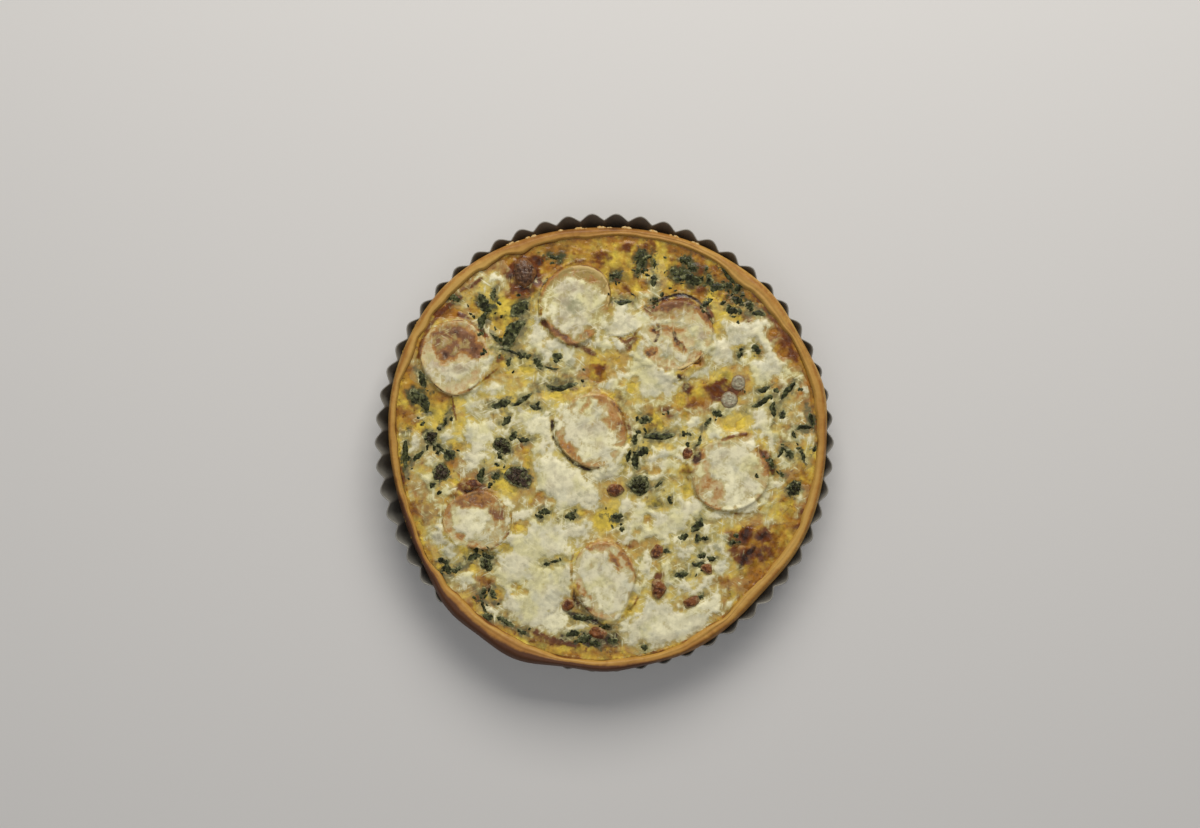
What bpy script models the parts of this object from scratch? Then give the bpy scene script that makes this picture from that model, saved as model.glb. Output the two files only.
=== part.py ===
"""A whole baked quiche standing in its fluted metal tin.

Frame: +Z up, origin at the centre of the tin's flat base, on the surface it stands on.
Every size below is in millimetres; MM turns it into Blender's metres when a mesh is written.
Angles are in degrees, counter-clockwise from +X as seen from above.

The pieces, from the outside in: the tin, the pastry crust, the custard filling, seven round
cheese slices with a thin rind, grated cheese on each slice, drifts of grated cheese between
them, lardons, clumps of wilted spinach and two small onion discs.
"""

import math

import bmesh
import bpy

MM = 0.001
GAP = 0.35  # clearance between touching pieces

# Tin: a thin flared wall with rounded flutes, deepest at the rim.
TIN_HEIGHT = 32.0
TIN_WALL = 0.8
FLUTES = 58
STEPS_PER_FLUTE = 4
RIM_CREST_RADIUS = 140.0
RIM_FLUTE_DEPTH = 3.9
BASE_CREST_RADIUS = 131.0
BASE_FLUTE_DEPTH = 2.0
BASE_FILLET = 1.6
FLUTE_ROUNDNESS = 1.3  # 1 gives sharp folds between round flutes, 2 gives a sine wave

# Crust: a pastry case that leans over the rim in places and has shrunk from it in others.
CRUST_SEGMENTS = 96
CRUST_FLOOR = 3.2
CRUST_BASE_RADIUS = 127.4
CRUST_INNER_BASE_RADIUS = 122.4
CRUST_TOP = 37.4
CRUST_OUTER_RADIUS = 135.2
CRUST_INNER_RADIUS = 129.6

# Each swell is (direction, how far out it pushes the edge, its width in degrees).
OUTER_SWELLS = (
    (14, 3.0, 9),
    (42, 1.8, 10),
    (90, -3.9, 24),
    (135, 1.5, 14),
    (193, -5.2, 24),
    (228, 5.0, 9),
    (247, 7.6, 11),
    (270, 4.3, 10),
    (290, 2.6, 12),
    (317, -2.3, 10),
)
INNER_SWELLS = (
    (92, -4.4, 14),
    (112, -2.6, 5),
    (138, 2.0, 12),
    (193, -5.3, 21),
    (265, 2.4, 34),
    (315, -4.0, 11),
)
HEIGHT_SWELLS = (
    (20, 0.5, 16),
    (75, -0.6, 25),
    (130, 0.4, 15),
    (200, -0.9, 20),
    (245, 0.9, 18),
    (315, -0.5, 14),
)

# Filling: custard with a low dome, lowest where it meets the crust.
FILLING_EDGE = 34.0
FILLING_DOME = 2.2
FILLING_TOP_RINGS = (0.74, 0.38)

# Slices: (x, y, half width, half length, direction of the length, flattening, its direction).
SLICE_SEGMENTS = 20
SLICE_THICKNESS = 3.0
SLICE_DISH = 0.8
SLICES = (
    (-17.5, 84.5, 21.0, 25.5, 72, 0.05, 150),
    (-90.5, 52.5, 21.5, 24.0, 80, 0.05, 40),
    (44.0, 65.5, 21.5, 23.0, 45, 0.03, 10),
    (-8.0, 6.5, 22.5, 24.0, 60, 0.03, 200),
    (76.0, -20.0, 22.5, 24.0, 10, 0.04, 120),
    (-77.0, -47.0, 18.5, 21.0, 175, 0.05, 60),
    (0.5, -83.0, 19.0, 25.0, 97, 0.04, 20),
)

# Grated cheese heaped on each slice: how much of the slice it covers, and its height.
TOPPING_SEGMENTS = 12
TOPPINGS = ((0.74, 2.0), (0.62, 1.2), (0.74, 1.8), (0.72, 2.0), (0.76, 1.8), (0.6, 1.5), (0.74, 2.0))

# Lardons: (x, y, length, width, height, direction of the length).
PIECE_SEGMENTS = 8
LARDONS = (
    (6.7, -28.5, 12, 9, 3.6, 5),
    (33.0, -88.5, 14, 10, 4.4, 95),
    (32.0, -66.0, 12, 8, 3.2, 60),
    (53.0, -96.5, 16, 7, 3.6, 24),
    (-22.0, -98.5, 10, 8, 3.6, 40),
    (50.5, -6.5, 9, 8, 3.4, 70),
    (62.5, -76.5, 9, 7, 3.0, 150),
    (-79.0, -25.5, 15, 7, 3.0, 165),
    (-4.0, -115.5, 14, 8, 3.0, 170),
)

# One knob of browned onion, in the same terms.
BROWNED_ONIONS = ((-48.5, 103.5, 22, 15, 4.6, 105),)

# Clumps of wilted spinach, in the same terms.
SPINACH_CLUMPS = (
    (21.4, -25.5, 14, 13, 3.6, 20),
    (-52.0, -20.5, 20, 13, 3.0, 160),
    (-99.5, -18.0, 13, 12, 2.8, 60),
    (-105.5, 3.5, 11, 11, 2.6, 120),
    (115.5, -28.0, 13, 10, 3.0, 40),
    (-62.0, -2.0, 15, 11, 2.6, 140),
    (-71.5, -74.0, 12, 8, 2.8, 130),
)

# Onion discs: (x, y, radius).
ONION_THICKNESS = 2.0
ONIONS = ((81.5, 36.5, 4.8), (76.0, 26.0, 5.4))

# Drifts of grated cheese: (x, y, half length, half width, direction of the length, height).
DRIFT_SEGMENTS = 14
DRIFTS = (
    (12.0, 73.0, 14, 12, 30, 2.6),
    (83.0, 64.0, 22, 11, 10, 2.4),
    (99.0, 48.0, 15, 10, 110, 2.2),
    (96.0, 9.0, 14, 10, 80, 2.2),
    (37.0, -7.0, 15, 10, 35, 2.4),
    (28.0, 37.0, 17, 9, 10, 2.2),
    (-78.0, 7.0, 24, 11, 95, 2.2),
    (-43.0, 11.0, 20, 10, 95, 2.2),
    (-31.0, -27.0, 26, 19, 125, 2.6),
    (-31.0, 52.0, 18, 11, 20, 2.2),
    (-41.0, -82.0, 36, 25, 112, 3.0),
    (42.0, -108.0, 36, 13, 18, 3.0),
    (42.0, -46.0, 26, 15, 170, 2.6),
    (70.0, -65.0, 17, 9, 100, 2.2),
    (-107.0, -43.0, 24, 8, 112, 2.0),
    (-84.0, -82.5, 11, 7, 20, 2.2),
    (-69.0, 98.5, 8, 6, 5, 2.4),
    (-115.5, 4.0, 7, 5, 100, 2.0),
)


def swell(direction, swells):
    """Sum of the named pushes at one direction, each fading as a bell curve to both sides."""
    total = 0.0
    for centre, amount, width in swells:
        away = (direction - centre + 180.0) % 360.0 - 180.0
        total += amount * math.exp(-((away / width) ** 2))
    return total


def crust_outer(direction):
    return CRUST_OUTER_RADIUS + swell(direction, OUTER_SWELLS)


def crust_inner(direction):
    return CRUST_INNER_RADIUS + swell(direction, INNER_SWELLS)


def filling_height(x, y):
    """Top of the custard: a low paraboloid that ends at the crust."""
    share = math.hypot(x, y) / CRUST_INNER_RADIUS
    return FILLING_EDGE + FILLING_DOME * (1.0 - min(share, 1.0) ** 2)


def ring(radius_at, height_at, count):
    """A closed ring of points about the Z axis; both arguments are functions of direction."""
    points = []
    for i in range(count):
        direction = 360.0 * i / count
        angle = math.radians(direction)
        radius = radius_at(direction)
        points.append((radius * math.cos(angle), radius * math.sin(angle), height_at(direction)))
    return points


def loft(name, rings, material, smooth_angle=50.0):
    """Skins a stack of rings, lowest outside first, and closes both ends round a centre point."""
    mesh = bpy.data.meshes.new(name)
    bm = bmesh.new()
    loops = [[bm.verts.new([MM * c for c in point]) for point in points] for points in rings]
    count = len(loops[0])
    for lower, upper in zip(loops, loops[1:]):
        for i in range(count):
            j = (i + 1) % count
            bm.faces.new((lower[i], lower[j], upper[j], upper[i]))
    for loop, first in ((loops[0], True), (loops[-1], False)):
        middle = [sum(v.co[k] for v in loop) / count for k in range(3)]
        centre = bm.verts.new(middle)
        for i in range(count):
            j = (i + 1) % count
            corners = (centre, loop[j], loop[i]) if first else (centre, loop[i], loop[j])
            bm.faces.new(corners)
    bm.to_mesh(mesh)
    bm.free()
    mesh.shade_smooth()
    mesh.set_sharp_from_angle(angle=math.radians(smooth_angle))
    mesh.materials.append(material)
    obj = bpy.data.objects.new(name, mesh)
    bpy.context.scene.collection.objects.link(obj)
    return obj


def finish(name, colour, roughness, metallic=0.0):
    """A plain Principled material in the piece's own colour."""
    material = bpy.data.materials.new(name)
    material.use_nodes = True
    shader = material.node_tree.nodes["Principled BSDF"]
    shader.inputs["Base Color"].default_value = (*colour, 1.0)
    shader.inputs["Roughness"].default_value = roughness
    shader.inputs["Metallic"].default_value = metallic
    return material


def flute(direction):
    """1 on the crest of a flute and 0 in the fold between two."""
    return abs(math.cos(math.radians(direction * FLUTES / 2.0))) ** FLUTE_ROUNDNESS


def tin_radius(direction, height):
    """Outer face of the tin's wall, which flares evenly from base to rim."""
    up = height / TIN_HEIGHT
    crest = BASE_CREST_RADIUS + (RIM_CREST_RADIUS - BASE_CREST_RADIUS) * up
    depth = BASE_FLUTE_DEPTH + (RIM_FLUTE_DEPTH - BASE_FLUTE_DEPTH) * up
    return crest - depth * (1.0 - flute(direction))


def make_tin(material):
    count = FLUTES * STEPS_PER_FLUTE

    def wall(height, inset=0.0):
        return ring(lambda d: tin_radius(d, height) - inset, lambda d: height, count)

    base = ring(lambda d: tin_radius(d, 0.0) - BASE_FILLET, lambda d: 0.0, count)
    rings = (base, wall(BASE_FILLET), wall(TIN_HEIGHT), wall(TIN_HEIGHT, TIN_WALL), wall(TIN_WALL, TIN_WALL))
    return loft("tin", rings, material, smooth_angle=60.0)


def crust_wall_at_rim(direction):
    """Outside of the pastry at the tin's rim: inside the folds, or further in where it shrank."""
    inside_folds = RIM_CREST_RADIUS - RIM_FLUTE_DEPTH - TIN_WALL - 0.7
    return min(inside_folds, crust_outer(direction) - 0.4)


def make_crust(material):
    floor_bottom = TIN_WALL + GAP
    lip = TIN_HEIGHT + 0.45

    def overhang(d):
        return max(crust_outer(d) - 0.6, crust_wall_at_rim(d) + 0.1)

    def band(share, height):
        """A ring between the inner edge (share 0) and the outer edge (share 1)."""
        def radius(d):
            return crust_inner(d) + share * (crust_outer(d) - crust_inner(d))
        return ring(radius, height, CRUST_SEGMENTS)

    def top(below):
        return lambda d: CRUST_TOP + swell(d, HEIGHT_SWELLS) - below

    def level(radius, height):
        return ring(lambda d: radius, lambda d: height, CRUST_SEGMENTS)

    rings = (
        level(CRUST_BASE_RADIUS - 1.8, floor_bottom),
        level(CRUST_BASE_RADIUS, floor_bottom + 1.6),
        ring(crust_wall_at_rim, lambda d: lip, CRUST_SEGMENTS),
        ring(overhang, lambda d: lip + 0.1, CRUST_SEGMENTS),
        band(1.0, top(2.5)),
        band(0.7, top(0.2)),
        band(0.28, top(0.1)),
        band(0.0, top(1.8)),
        ring(lambda d: crust_inner(d) - 0.4, lambda d: FILLING_EDGE - 3.0, CRUST_SEGMENTS),
        level(CRUST_INNER_BASE_RADIUS, floor_bottom + CRUST_FLOOR + 1.5),
        level(CRUST_INNER_BASE_RADIUS - 1.8, floor_bottom + CRUST_FLOOR),
    )
    return loft("crust", rings, material, smooth_angle=70.0)


def make_filling(material):
    bottom = TIN_WALL + GAP + CRUST_FLOOR + GAP

    def inset(amount):
        return lambda d: crust_inner(d) - amount

    def top_ring(share):
        def radius(d):
            return share * (crust_inner(d) - 2.4)
        def height(d):
            return filling_height(radius(d), 0.0)
        return ring(radius, height, CRUST_SEGMENTS)

    rings = [
        ring(lambda d: CRUST_INNER_BASE_RADIUS - 2.8, lambda d: bottom, CRUST_SEGMENTS),
        ring(lambda d: CRUST_INNER_BASE_RADIUS - 1.2, lambda d: bottom + 1.5, CRUST_SEGMENTS),
        ring(inset(1.6), lambda d: FILLING_EDGE - 3.0, CRUST_SEGMENTS),
        ring(inset(0.6), lambda d: FILLING_EDGE - 0.3, CRUST_SEGMENTS),
    ]
    rings += [top_ring(share) for share in (1.0, *FILLING_TOP_RINGS)]
    return loft("filling", rings, material, smooth_angle=40.0)


def oval(x, y, half_width, half_length, turn, flattening=0.0, flat_side=0.0, ripple=0.0, seed=0):
    """Distance from (x, y) to an oval's edge, as a function of direction.

    flattening pulls in the three sides of a rounded triangle; ripple adds small uneven waves.
    """
    def radius(direction):
        along = math.radians(direction - turn)
        base = half_length * half_width / math.hypot(
            half_width * math.cos(along), half_length * math.sin(along)
        )
        three = flattening * math.cos(3.0 * math.radians(direction - flat_side))
        waves = math.sin(math.radians(5 * direction + 97 * seed))
        waves += 0.7 * math.sin(math.radians(8 * direction + 41 * seed))
        return base * (1.0 + three + ripple * waves)
    return {"centre": (x, y), "radius": radius}


def covers(shape, x, y, margin):
    """True if the point is inside the outline, or nearer to it than margin."""
    dx, dy = x - shape["centre"][0], y - shape["centre"][1]
    direction = math.degrees(math.atan2(dy, dx))
    return math.hypot(dx, dy) < shape["radius"](direction) + margin


def sampled(centre, edge):
    """An outline that runs evenly between the given distances, spaced round the centre."""
    count = len(edge)

    def radius(direction):
        place = (direction % 360.0) * count / 360.0
        before = int(place) % count
        share = place - int(place)
        return edge[before] * (1.0 - share) + edge[(before + 1) % count] * share
    return {"centre": centre, "radius": radius}


def kept_clear(shape, others, margin, count):
    """The outline drawn in so that it stops short of the other pieces and of the crust."""
    cx, cy = shape["centre"]
    others = list(others)

    def blocked(x, y):
        rim = crust_inner(math.degrees(math.atan2(y, x))) - 2.4 - margin
        return math.hypot(x, y) > rim or any(covers(other, x, y, margin) for other in others)

    def corner(i, distance):
        angle = 2.0 * math.pi * i / count
        return cx + distance * math.cos(angle), cy + distance * math.sin(angle)

    edge = []
    for i in range(count):
        wanted = shape["radius"](360.0 * i / count)
        reached = 0.5
        while reached < wanted and not blocked(*corner(i, reached)):
            reached += 0.25
        edge.append(min(reached, wanted) - 0.25)
    for i in range(count):
        j = (i + 1) % count
        for share in (0.5, 0.25, 0.75):
            for attempt in range(60):
                (ax, ay), (bx, by) = corner(i, edge[i]), corner(j, edge[j])
                if not blocked(ax + share * (bx - ax), ay + share * (by - ay)):
                    break
                edge[i] *= 0.97
                edge[j] *= 0.97
    return sampled(shape["centre"], edge)


def mound(name, shape, layers, count, material, lift=GAP):
    """A closed piece that lies on the custard: each layer is (share of the outline, height)."""
    cx, cy = shape["centre"]
    edge = [shape["radius"](360.0 * i / count) for i in range(count)]
    rings = []
    for share, height in layers:
        points = []
        for i in range(count):
            angle = 2.0 * math.pi * i / count
            x = cx + share * edge[i] * math.cos(angle)
            y = cy + share * edge[i] * math.sin(angle)
            points.append((x, y, filling_height(x, y) + lift + height))
        rings.append(points)
    return loft(name, rings, material, smooth_angle=60.0)


def make_slices(rind, cheese):
    """The round slices, dished inside a raised rind, each with its grated cheese on top."""
    shapes = []
    for number, (x, y, half_width, half_length, turn, flattening, flat_side) in enumerate(SLICES, 1):
        shape = oval(x, y, half_width, half_length, turn, flattening, flat_side)
        inner = SLICE_THICKNESS - SLICE_DISH
        layers = ((0.95, 0.0), (1.0, 0.6 * SLICE_THICKNESS), (0.97, SLICE_THICKNESS), (0.86, inner))
        mound(f"slice_{number}", shape, layers, SLICE_SEGMENTS, rind)
        cover, height = TOPPINGS[number - 1]
        heap = oval(x, y, cover * half_width, cover * half_length, turn, ripple=0.05, seed=number)
        layers = ((0.94, 0.0), (1.0, 0.5), (0.6, height))
        mound(f"topping_{number}", heap, layers, TOPPING_SEGMENTS, cheese, lift=inner + 2.0 * GAP)
        shapes.append(shape)
    return shapes


def make_pieces(prefix, rows, material, seed, others):
    """Rounded bits from rows of (x, y, length, width, height, direction)."""
    shapes = []
    for number, (x, y, length, width, height, turn) in enumerate(rows, 1):
        shape = oval(x, y, width / 2.0, length / 2.0, turn, 0.06, turn + 30, 0.04, seed + number)
        shape = kept_clear(shape, others + shapes, 2.0 * GAP, PIECE_SEGMENTS)
        layers = ((0.85, 0.0), (1.0, 0.45 * height), (0.72, 0.92 * height))
        mound(f"{prefix}_{number}", shape, layers, PIECE_SEGMENTS, material)
        shapes.append(shape)
    return shapes


def make_onions(material):
    shapes = []
    for number, (x, y, radius) in enumerate(ONIONS, 1):
        shape = oval(x, y, radius, radius, 0)
        layers = ((0.9, 0.0), (1.0, 1.2), (0.82, ONION_THICKNESS), (0.55, ONION_THICKNESS - 0.9))
        mound(f"onion_{number}", shape, layers, 12, material)
        shapes.append(shape)
    return shapes


def make_drifts(material, others):
    """Low heaps of grated cheese that fill the room between the other toppings."""
    taken = list(others)
    for number, (x, y, half_length, half_width, turn, height) in enumerate(DRIFTS, 1):
        shape = oval(x, y, half_width, half_length, turn, 0.05, 40 * number, 0.06, number)
        shape = kept_clear(shape, taken, 2.0 * GAP, DRIFT_SEGMENTS)
        layers = ((0.96, 0.0), (1.0, 0.4), (0.62, height))
        mound(f"drift_{number}", shape, layers, DRIFT_SEGMENTS, material)
        taken.append(shape)


def clear_scene():
    for obj in list(bpy.data.objects):
        bpy.data.objects.remove(obj)


def main():
    clear_scene()
    cheese = finish("grated_cheese", (0.78, 0.73, 0.52), 0.55)
    make_tin(finish("dark_steel", (0.09, 0.09, 0.08), 0.5, 0.6))
    make_crust(finish("pastry", (0.55, 0.30, 0.10), 0.6))
    make_filling(finish("custard", (0.68, 0.42, 0.08), 0.4))
    taken = make_slices(finish("rind", (0.62, 0.45, 0.22), 0.5), cheese)
    taken += make_onions(finish("onion", (0.55, 0.5, 0.36), 0.3))
    for prefix, rows, colour, seed in (
        ("lardon", LARDONS, (0.25, 0.07, 0.03), 3),
        ("browned_onion", BROWNED_ONIONS, (0.12, 0.04, 0.02), 15),
        ("spinach", SPINACH_CLUMPS, (0.02, 0.05, 0.02), 20),
    ):
        taken += make_pieces(prefix, rows, finish(prefix, colour, 0.38), seed, taken)
    make_drifts(cheese, taken)


main()
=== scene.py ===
import math

import bpy
import numpy as np
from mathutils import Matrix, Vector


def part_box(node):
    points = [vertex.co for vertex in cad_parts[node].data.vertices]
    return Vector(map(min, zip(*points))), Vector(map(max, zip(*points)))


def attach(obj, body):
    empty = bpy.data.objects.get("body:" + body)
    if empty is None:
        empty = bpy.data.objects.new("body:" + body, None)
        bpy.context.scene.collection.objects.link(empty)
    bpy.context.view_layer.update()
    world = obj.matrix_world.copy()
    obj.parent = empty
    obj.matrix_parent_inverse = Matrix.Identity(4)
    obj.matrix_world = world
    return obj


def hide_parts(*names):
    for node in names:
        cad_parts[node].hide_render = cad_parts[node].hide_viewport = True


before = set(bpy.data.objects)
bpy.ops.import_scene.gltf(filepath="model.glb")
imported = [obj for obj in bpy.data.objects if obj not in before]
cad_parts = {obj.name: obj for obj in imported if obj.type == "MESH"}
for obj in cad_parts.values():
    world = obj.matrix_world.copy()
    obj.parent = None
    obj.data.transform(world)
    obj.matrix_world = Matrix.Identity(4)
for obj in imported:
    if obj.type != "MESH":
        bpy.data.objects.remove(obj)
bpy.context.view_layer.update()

# A baked quiche in its fluted tin. Shapes are worked out in millimetres and written in metres.
# x runs right, y up and z towards the viewer, angles are in degrees counter-clockwise from x.

mm = 0.001
print("quiche: the frame is loaded")


# reading the frame

def nodePoints(name):
    # a node's vertices, in millimetres
    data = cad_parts[name].data
    points = np.empty(len(data.vertices) * 3, np.float32)
    data.vertices.foreach_get("co", points)
    return points.reshape(-1, 3).astype(float) / mm


def nodeOutline(name, centre, count=180, soften=0.0):
    # silhouette from above: along each ray, the farthest crossing with any of the node's edges
    points = nodePoints(name)[:, :2] - centre
    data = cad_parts[name].data
    ends = np.empty(len(data.edges) * 2, np.int32)
    data.edges.foreach_get("vertices", ends)
    start, stop = points[ends[0::2]], points[ends[1::2]]
    run = stop - start
    angle = np.arange(count) * 2 * np.pi / count
    ray = np.stack([np.cos(angle), np.sin(angle)], 1)
    cross = ray[:, None, 0] * run[None, :, 1] - ray[:, None, 1] * run[None, :, 0]
    cross = np.where(np.abs(cross) < 1e-9, np.nan, cross)
    distance = (start[:, 0] * run[:, 1] - start[:, 1] * run[:, 0])[None, :] / cross
    share = (start[None, :, 0] * ray[:, None, 1] - start[None, :, 1] * ray[:, None, 0]) / cross
    hit = (share >= -1e-6) & (share <= 1 + 1e-6) & (distance > 0)
    radius = np.where(hit, distance, 0.0).max(1)
    if soften > 0:
        gap = np.minimum(np.arange(count), count - np.arange(count)) * 360 / count
        weight = np.exp(-(gap / soften) ** 2)
        radius = np.real(np.fft.ifft(np.fft.fft(radius) * np.fft.fft(weight / weight.sum())))
    return radius


def around(values, direction):
    # reads a closed list of evenly spaced values at any direction in degrees
    count = len(values)
    place = np.mod(direction, 360.0) * count / 360.0
    before = np.floor(place).astype(int) % count
    share = place - np.floor(place)
    return values[before] * (1 - share) + values[(before + 1) % count] * share


def centreOf(name):
    low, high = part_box(name)
    return np.array([(low.x + high.x) / 2, (low.y + high.y) / 2]) / mm


nodeNames = sorted(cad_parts)
familyOf = {}
for nodeName in nodeNames:
    stem = nodeName.rsplit("_", 1)[0]
    familyOf.setdefault(stem, []).append(nodeName)
for members in familyOf.values():
    members.sort(key=lambda n: int(n.rsplit("_", 1)[1]) if "_" in n else 0)

fillingOutline = nodeOutline("filling", np.zeros(2), 360, 1.5)
crustOutline = nodeOutline("crust", np.zeros(2), 360, 1.5)
crustPoints = nodePoints("crust")
crustDirections = np.degrees(np.arctan2(crustPoints[:, 1], crustPoints[:, 0])) % 360
crustTops = np.array([
    crustPoints[np.abs((crustDirections - d + 180) % 360 - 180) < 2.5, 2].max() for d in range(0, 360, 2)
])
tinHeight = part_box("tin")[1].z / mm
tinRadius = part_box("tin")[1].x / mm
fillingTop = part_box("filling")[1].z / mm
fillingPoints = nodePoints("filling")
rimShare = np.hypot(fillingPoints[:, 0], fillingPoints[:, 1]) > 0.93 * fillingOutline.min()
fillingEdge = fillingPoints[rimShare, 2].max()


def crustInner(direction):
    return around(fillingOutline, direction) + 0.6


def crustOuter(direction):
    return around(crustOutline, direction)


# noise and soft shapes

def smooth(low, high, value):
    t = np.clip((value - low) / (high - low), 0, 1)
    return t * t * (3 - 2 * t)


def turnFrom(direction, other):
    # the angle between two directions, 0 to 180
    return np.abs((direction - other + 180) % 360 - 180)


def bell(direction, rows):
    # soft swells round a ring, the sum of height * exp(-(angle / spread) ^ 2)
    return sum(row[2] * np.exp(-(turnFrom(direction, row[0]) / row[1]) ** 2) for row in rows)


def polar(radius, direction, centre=(0, 0)):
    angle = np.radians(direction)
    return centre[0] + radius * np.cos(angle), centre[1] + radius * np.sin(angle)


def noise(x, y, size, seed):
    # gradient noise, about -1 to 1: each lattice corner pulls along its own random direction
    angles = np.random.default_rng(seed).random((64, 64)) * 2 * np.pi
    u, v = x / size, y / size
    i, j = np.floor(u).astype(int), np.floor(v).astype(int)
    fu, fv = u - i, v - j
    su = fu ** 3 * (fu * (fu * 6 - 15) + 10)
    sv = fv ** 3 * (fv * (fv * 6 - 15) + 10)

    def corner(di, dj):
        a = angles[(i + di) % 64, (j + dj) % 64]
        return np.cos(a) * (fu - di) + np.sin(a) * (fv - dj)

    lower = corner(0, 0) * (1 - su) + corner(1, 0) * su
    upper = corner(0, 1) * (1 - su) + corner(1, 1) * su
    return 1.6 * (lower * (1 - sv) + upper * sv)


def fractal(x, y, size, seed, octaves=3):
    total, weight = 0.0, 1.0
    for octave in range(octaves):
        total = total + weight * noise(x, y, size / 2 ** octave, seed + octave)
        weight *= 0.5
    return total


def ringNoise(direction, cycles, seed):
    # smooth noise that closes on itself after a full turn, with about this many swells
    count = int(cycles)
    values = np.random.default_rng(seed).uniform(-1, 1, count)
    place = np.mod(direction, 360.0) * count / 360.0
    k, t = np.floor(place).astype(int) % count, place - np.floor(place)
    t = t * t * (3 - 2 * t)
    return values[k] * (1 - t) + values[(k + 1) % count] * t


def ovalDepth(x, y, row):
    # how far inside a turned oval a point lies, in millimetres, negative outside
    cx, cy, halfLong, halfWide, turn = row[:5]
    c, s = math.cos(math.radians(turn)), math.sin(math.radians(turn))
    u = ((x - cx) * c + (y - cy) * s) / halfLong
    v = ((y - cy) * c - (x - cx) * s) / halfWide
    return (1 - np.hypot(u, v)) * min(halfLong, halfWide)


def spots(x, y, rows, soft):
    # the strongest of many soft ovals: (x, y, half length, half width, turn, strength)
    field = np.zeros_like(x)
    for row in rows:
        reach = max(row[2], row[3]) + soft
        near = (np.abs(x - row[0]) < reach) & (np.abs(y - row[1]) < reach)
        if near.any():
            depth = ovalDepth(x[near], y[near], row)
            field[near] = np.maximum(field[near], row[5] * smooth(-soft, soft, depth))
    return field


def splineThrough(points, steps=8):
    # a Catmull-Rom curve through given points
    p = np.array(points, float)
    p = np.vstack([2 * p[0] - p[1], p, 2 * p[-1] - p[-2]])
    t = np.linspace(0, 1, steps, endpoint=False)[:, None]
    parts = []
    for k in range(1, len(p) - 2):
        a, b, c, d = p[k - 1], p[k], p[k + 1], p[k + 2]
        parts.append(0.5 * (2 * b + (c - a) * t + (2 * a - 5 * b + 4 * c - d) * t ** 2
                            + (3 * b - a - 3 * c + d) * t ** 3))
    return np.vstack(parts + [p[-2:-1]])


def strokeDistance(x, y, points, reach):
    # distance to a smooth stroke and the side it lies on (positive on the left of its run)
    line = splineThrough(points)
    best = np.full_like(x, 1e3)
    side = np.ones_like(x)
    low, high = line.min(0) - reach, line.max(0) + reach
    near = (x > low[0]) & (x < high[0]) & (y > low[1]) & (y < high[1])
    px, py = x[near], y[near]
    nearest, which = np.full_like(px, 1e3), np.ones_like(px)
    for a, b in zip(line[:-1], line[1:]):
        run = b - a
        share = np.clip(((px - a[0]) * run[0] + (py - a[1]) * run[1]) / (run @ run + 1e-9), 0, 1)
        dx, dy = px - a[0] - share * run[0], py - a[1] - share * run[1]
        distance = np.hypot(dx, dy)
        closer = distance < nearest
        nearest = np.where(closer, distance, nearest)
        which = np.where(closer, np.sign(run[0] * dy - run[1] * dx), which)
    best[near], side[near] = nearest, which
    return best, side


# where everything lies on the quiche

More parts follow.
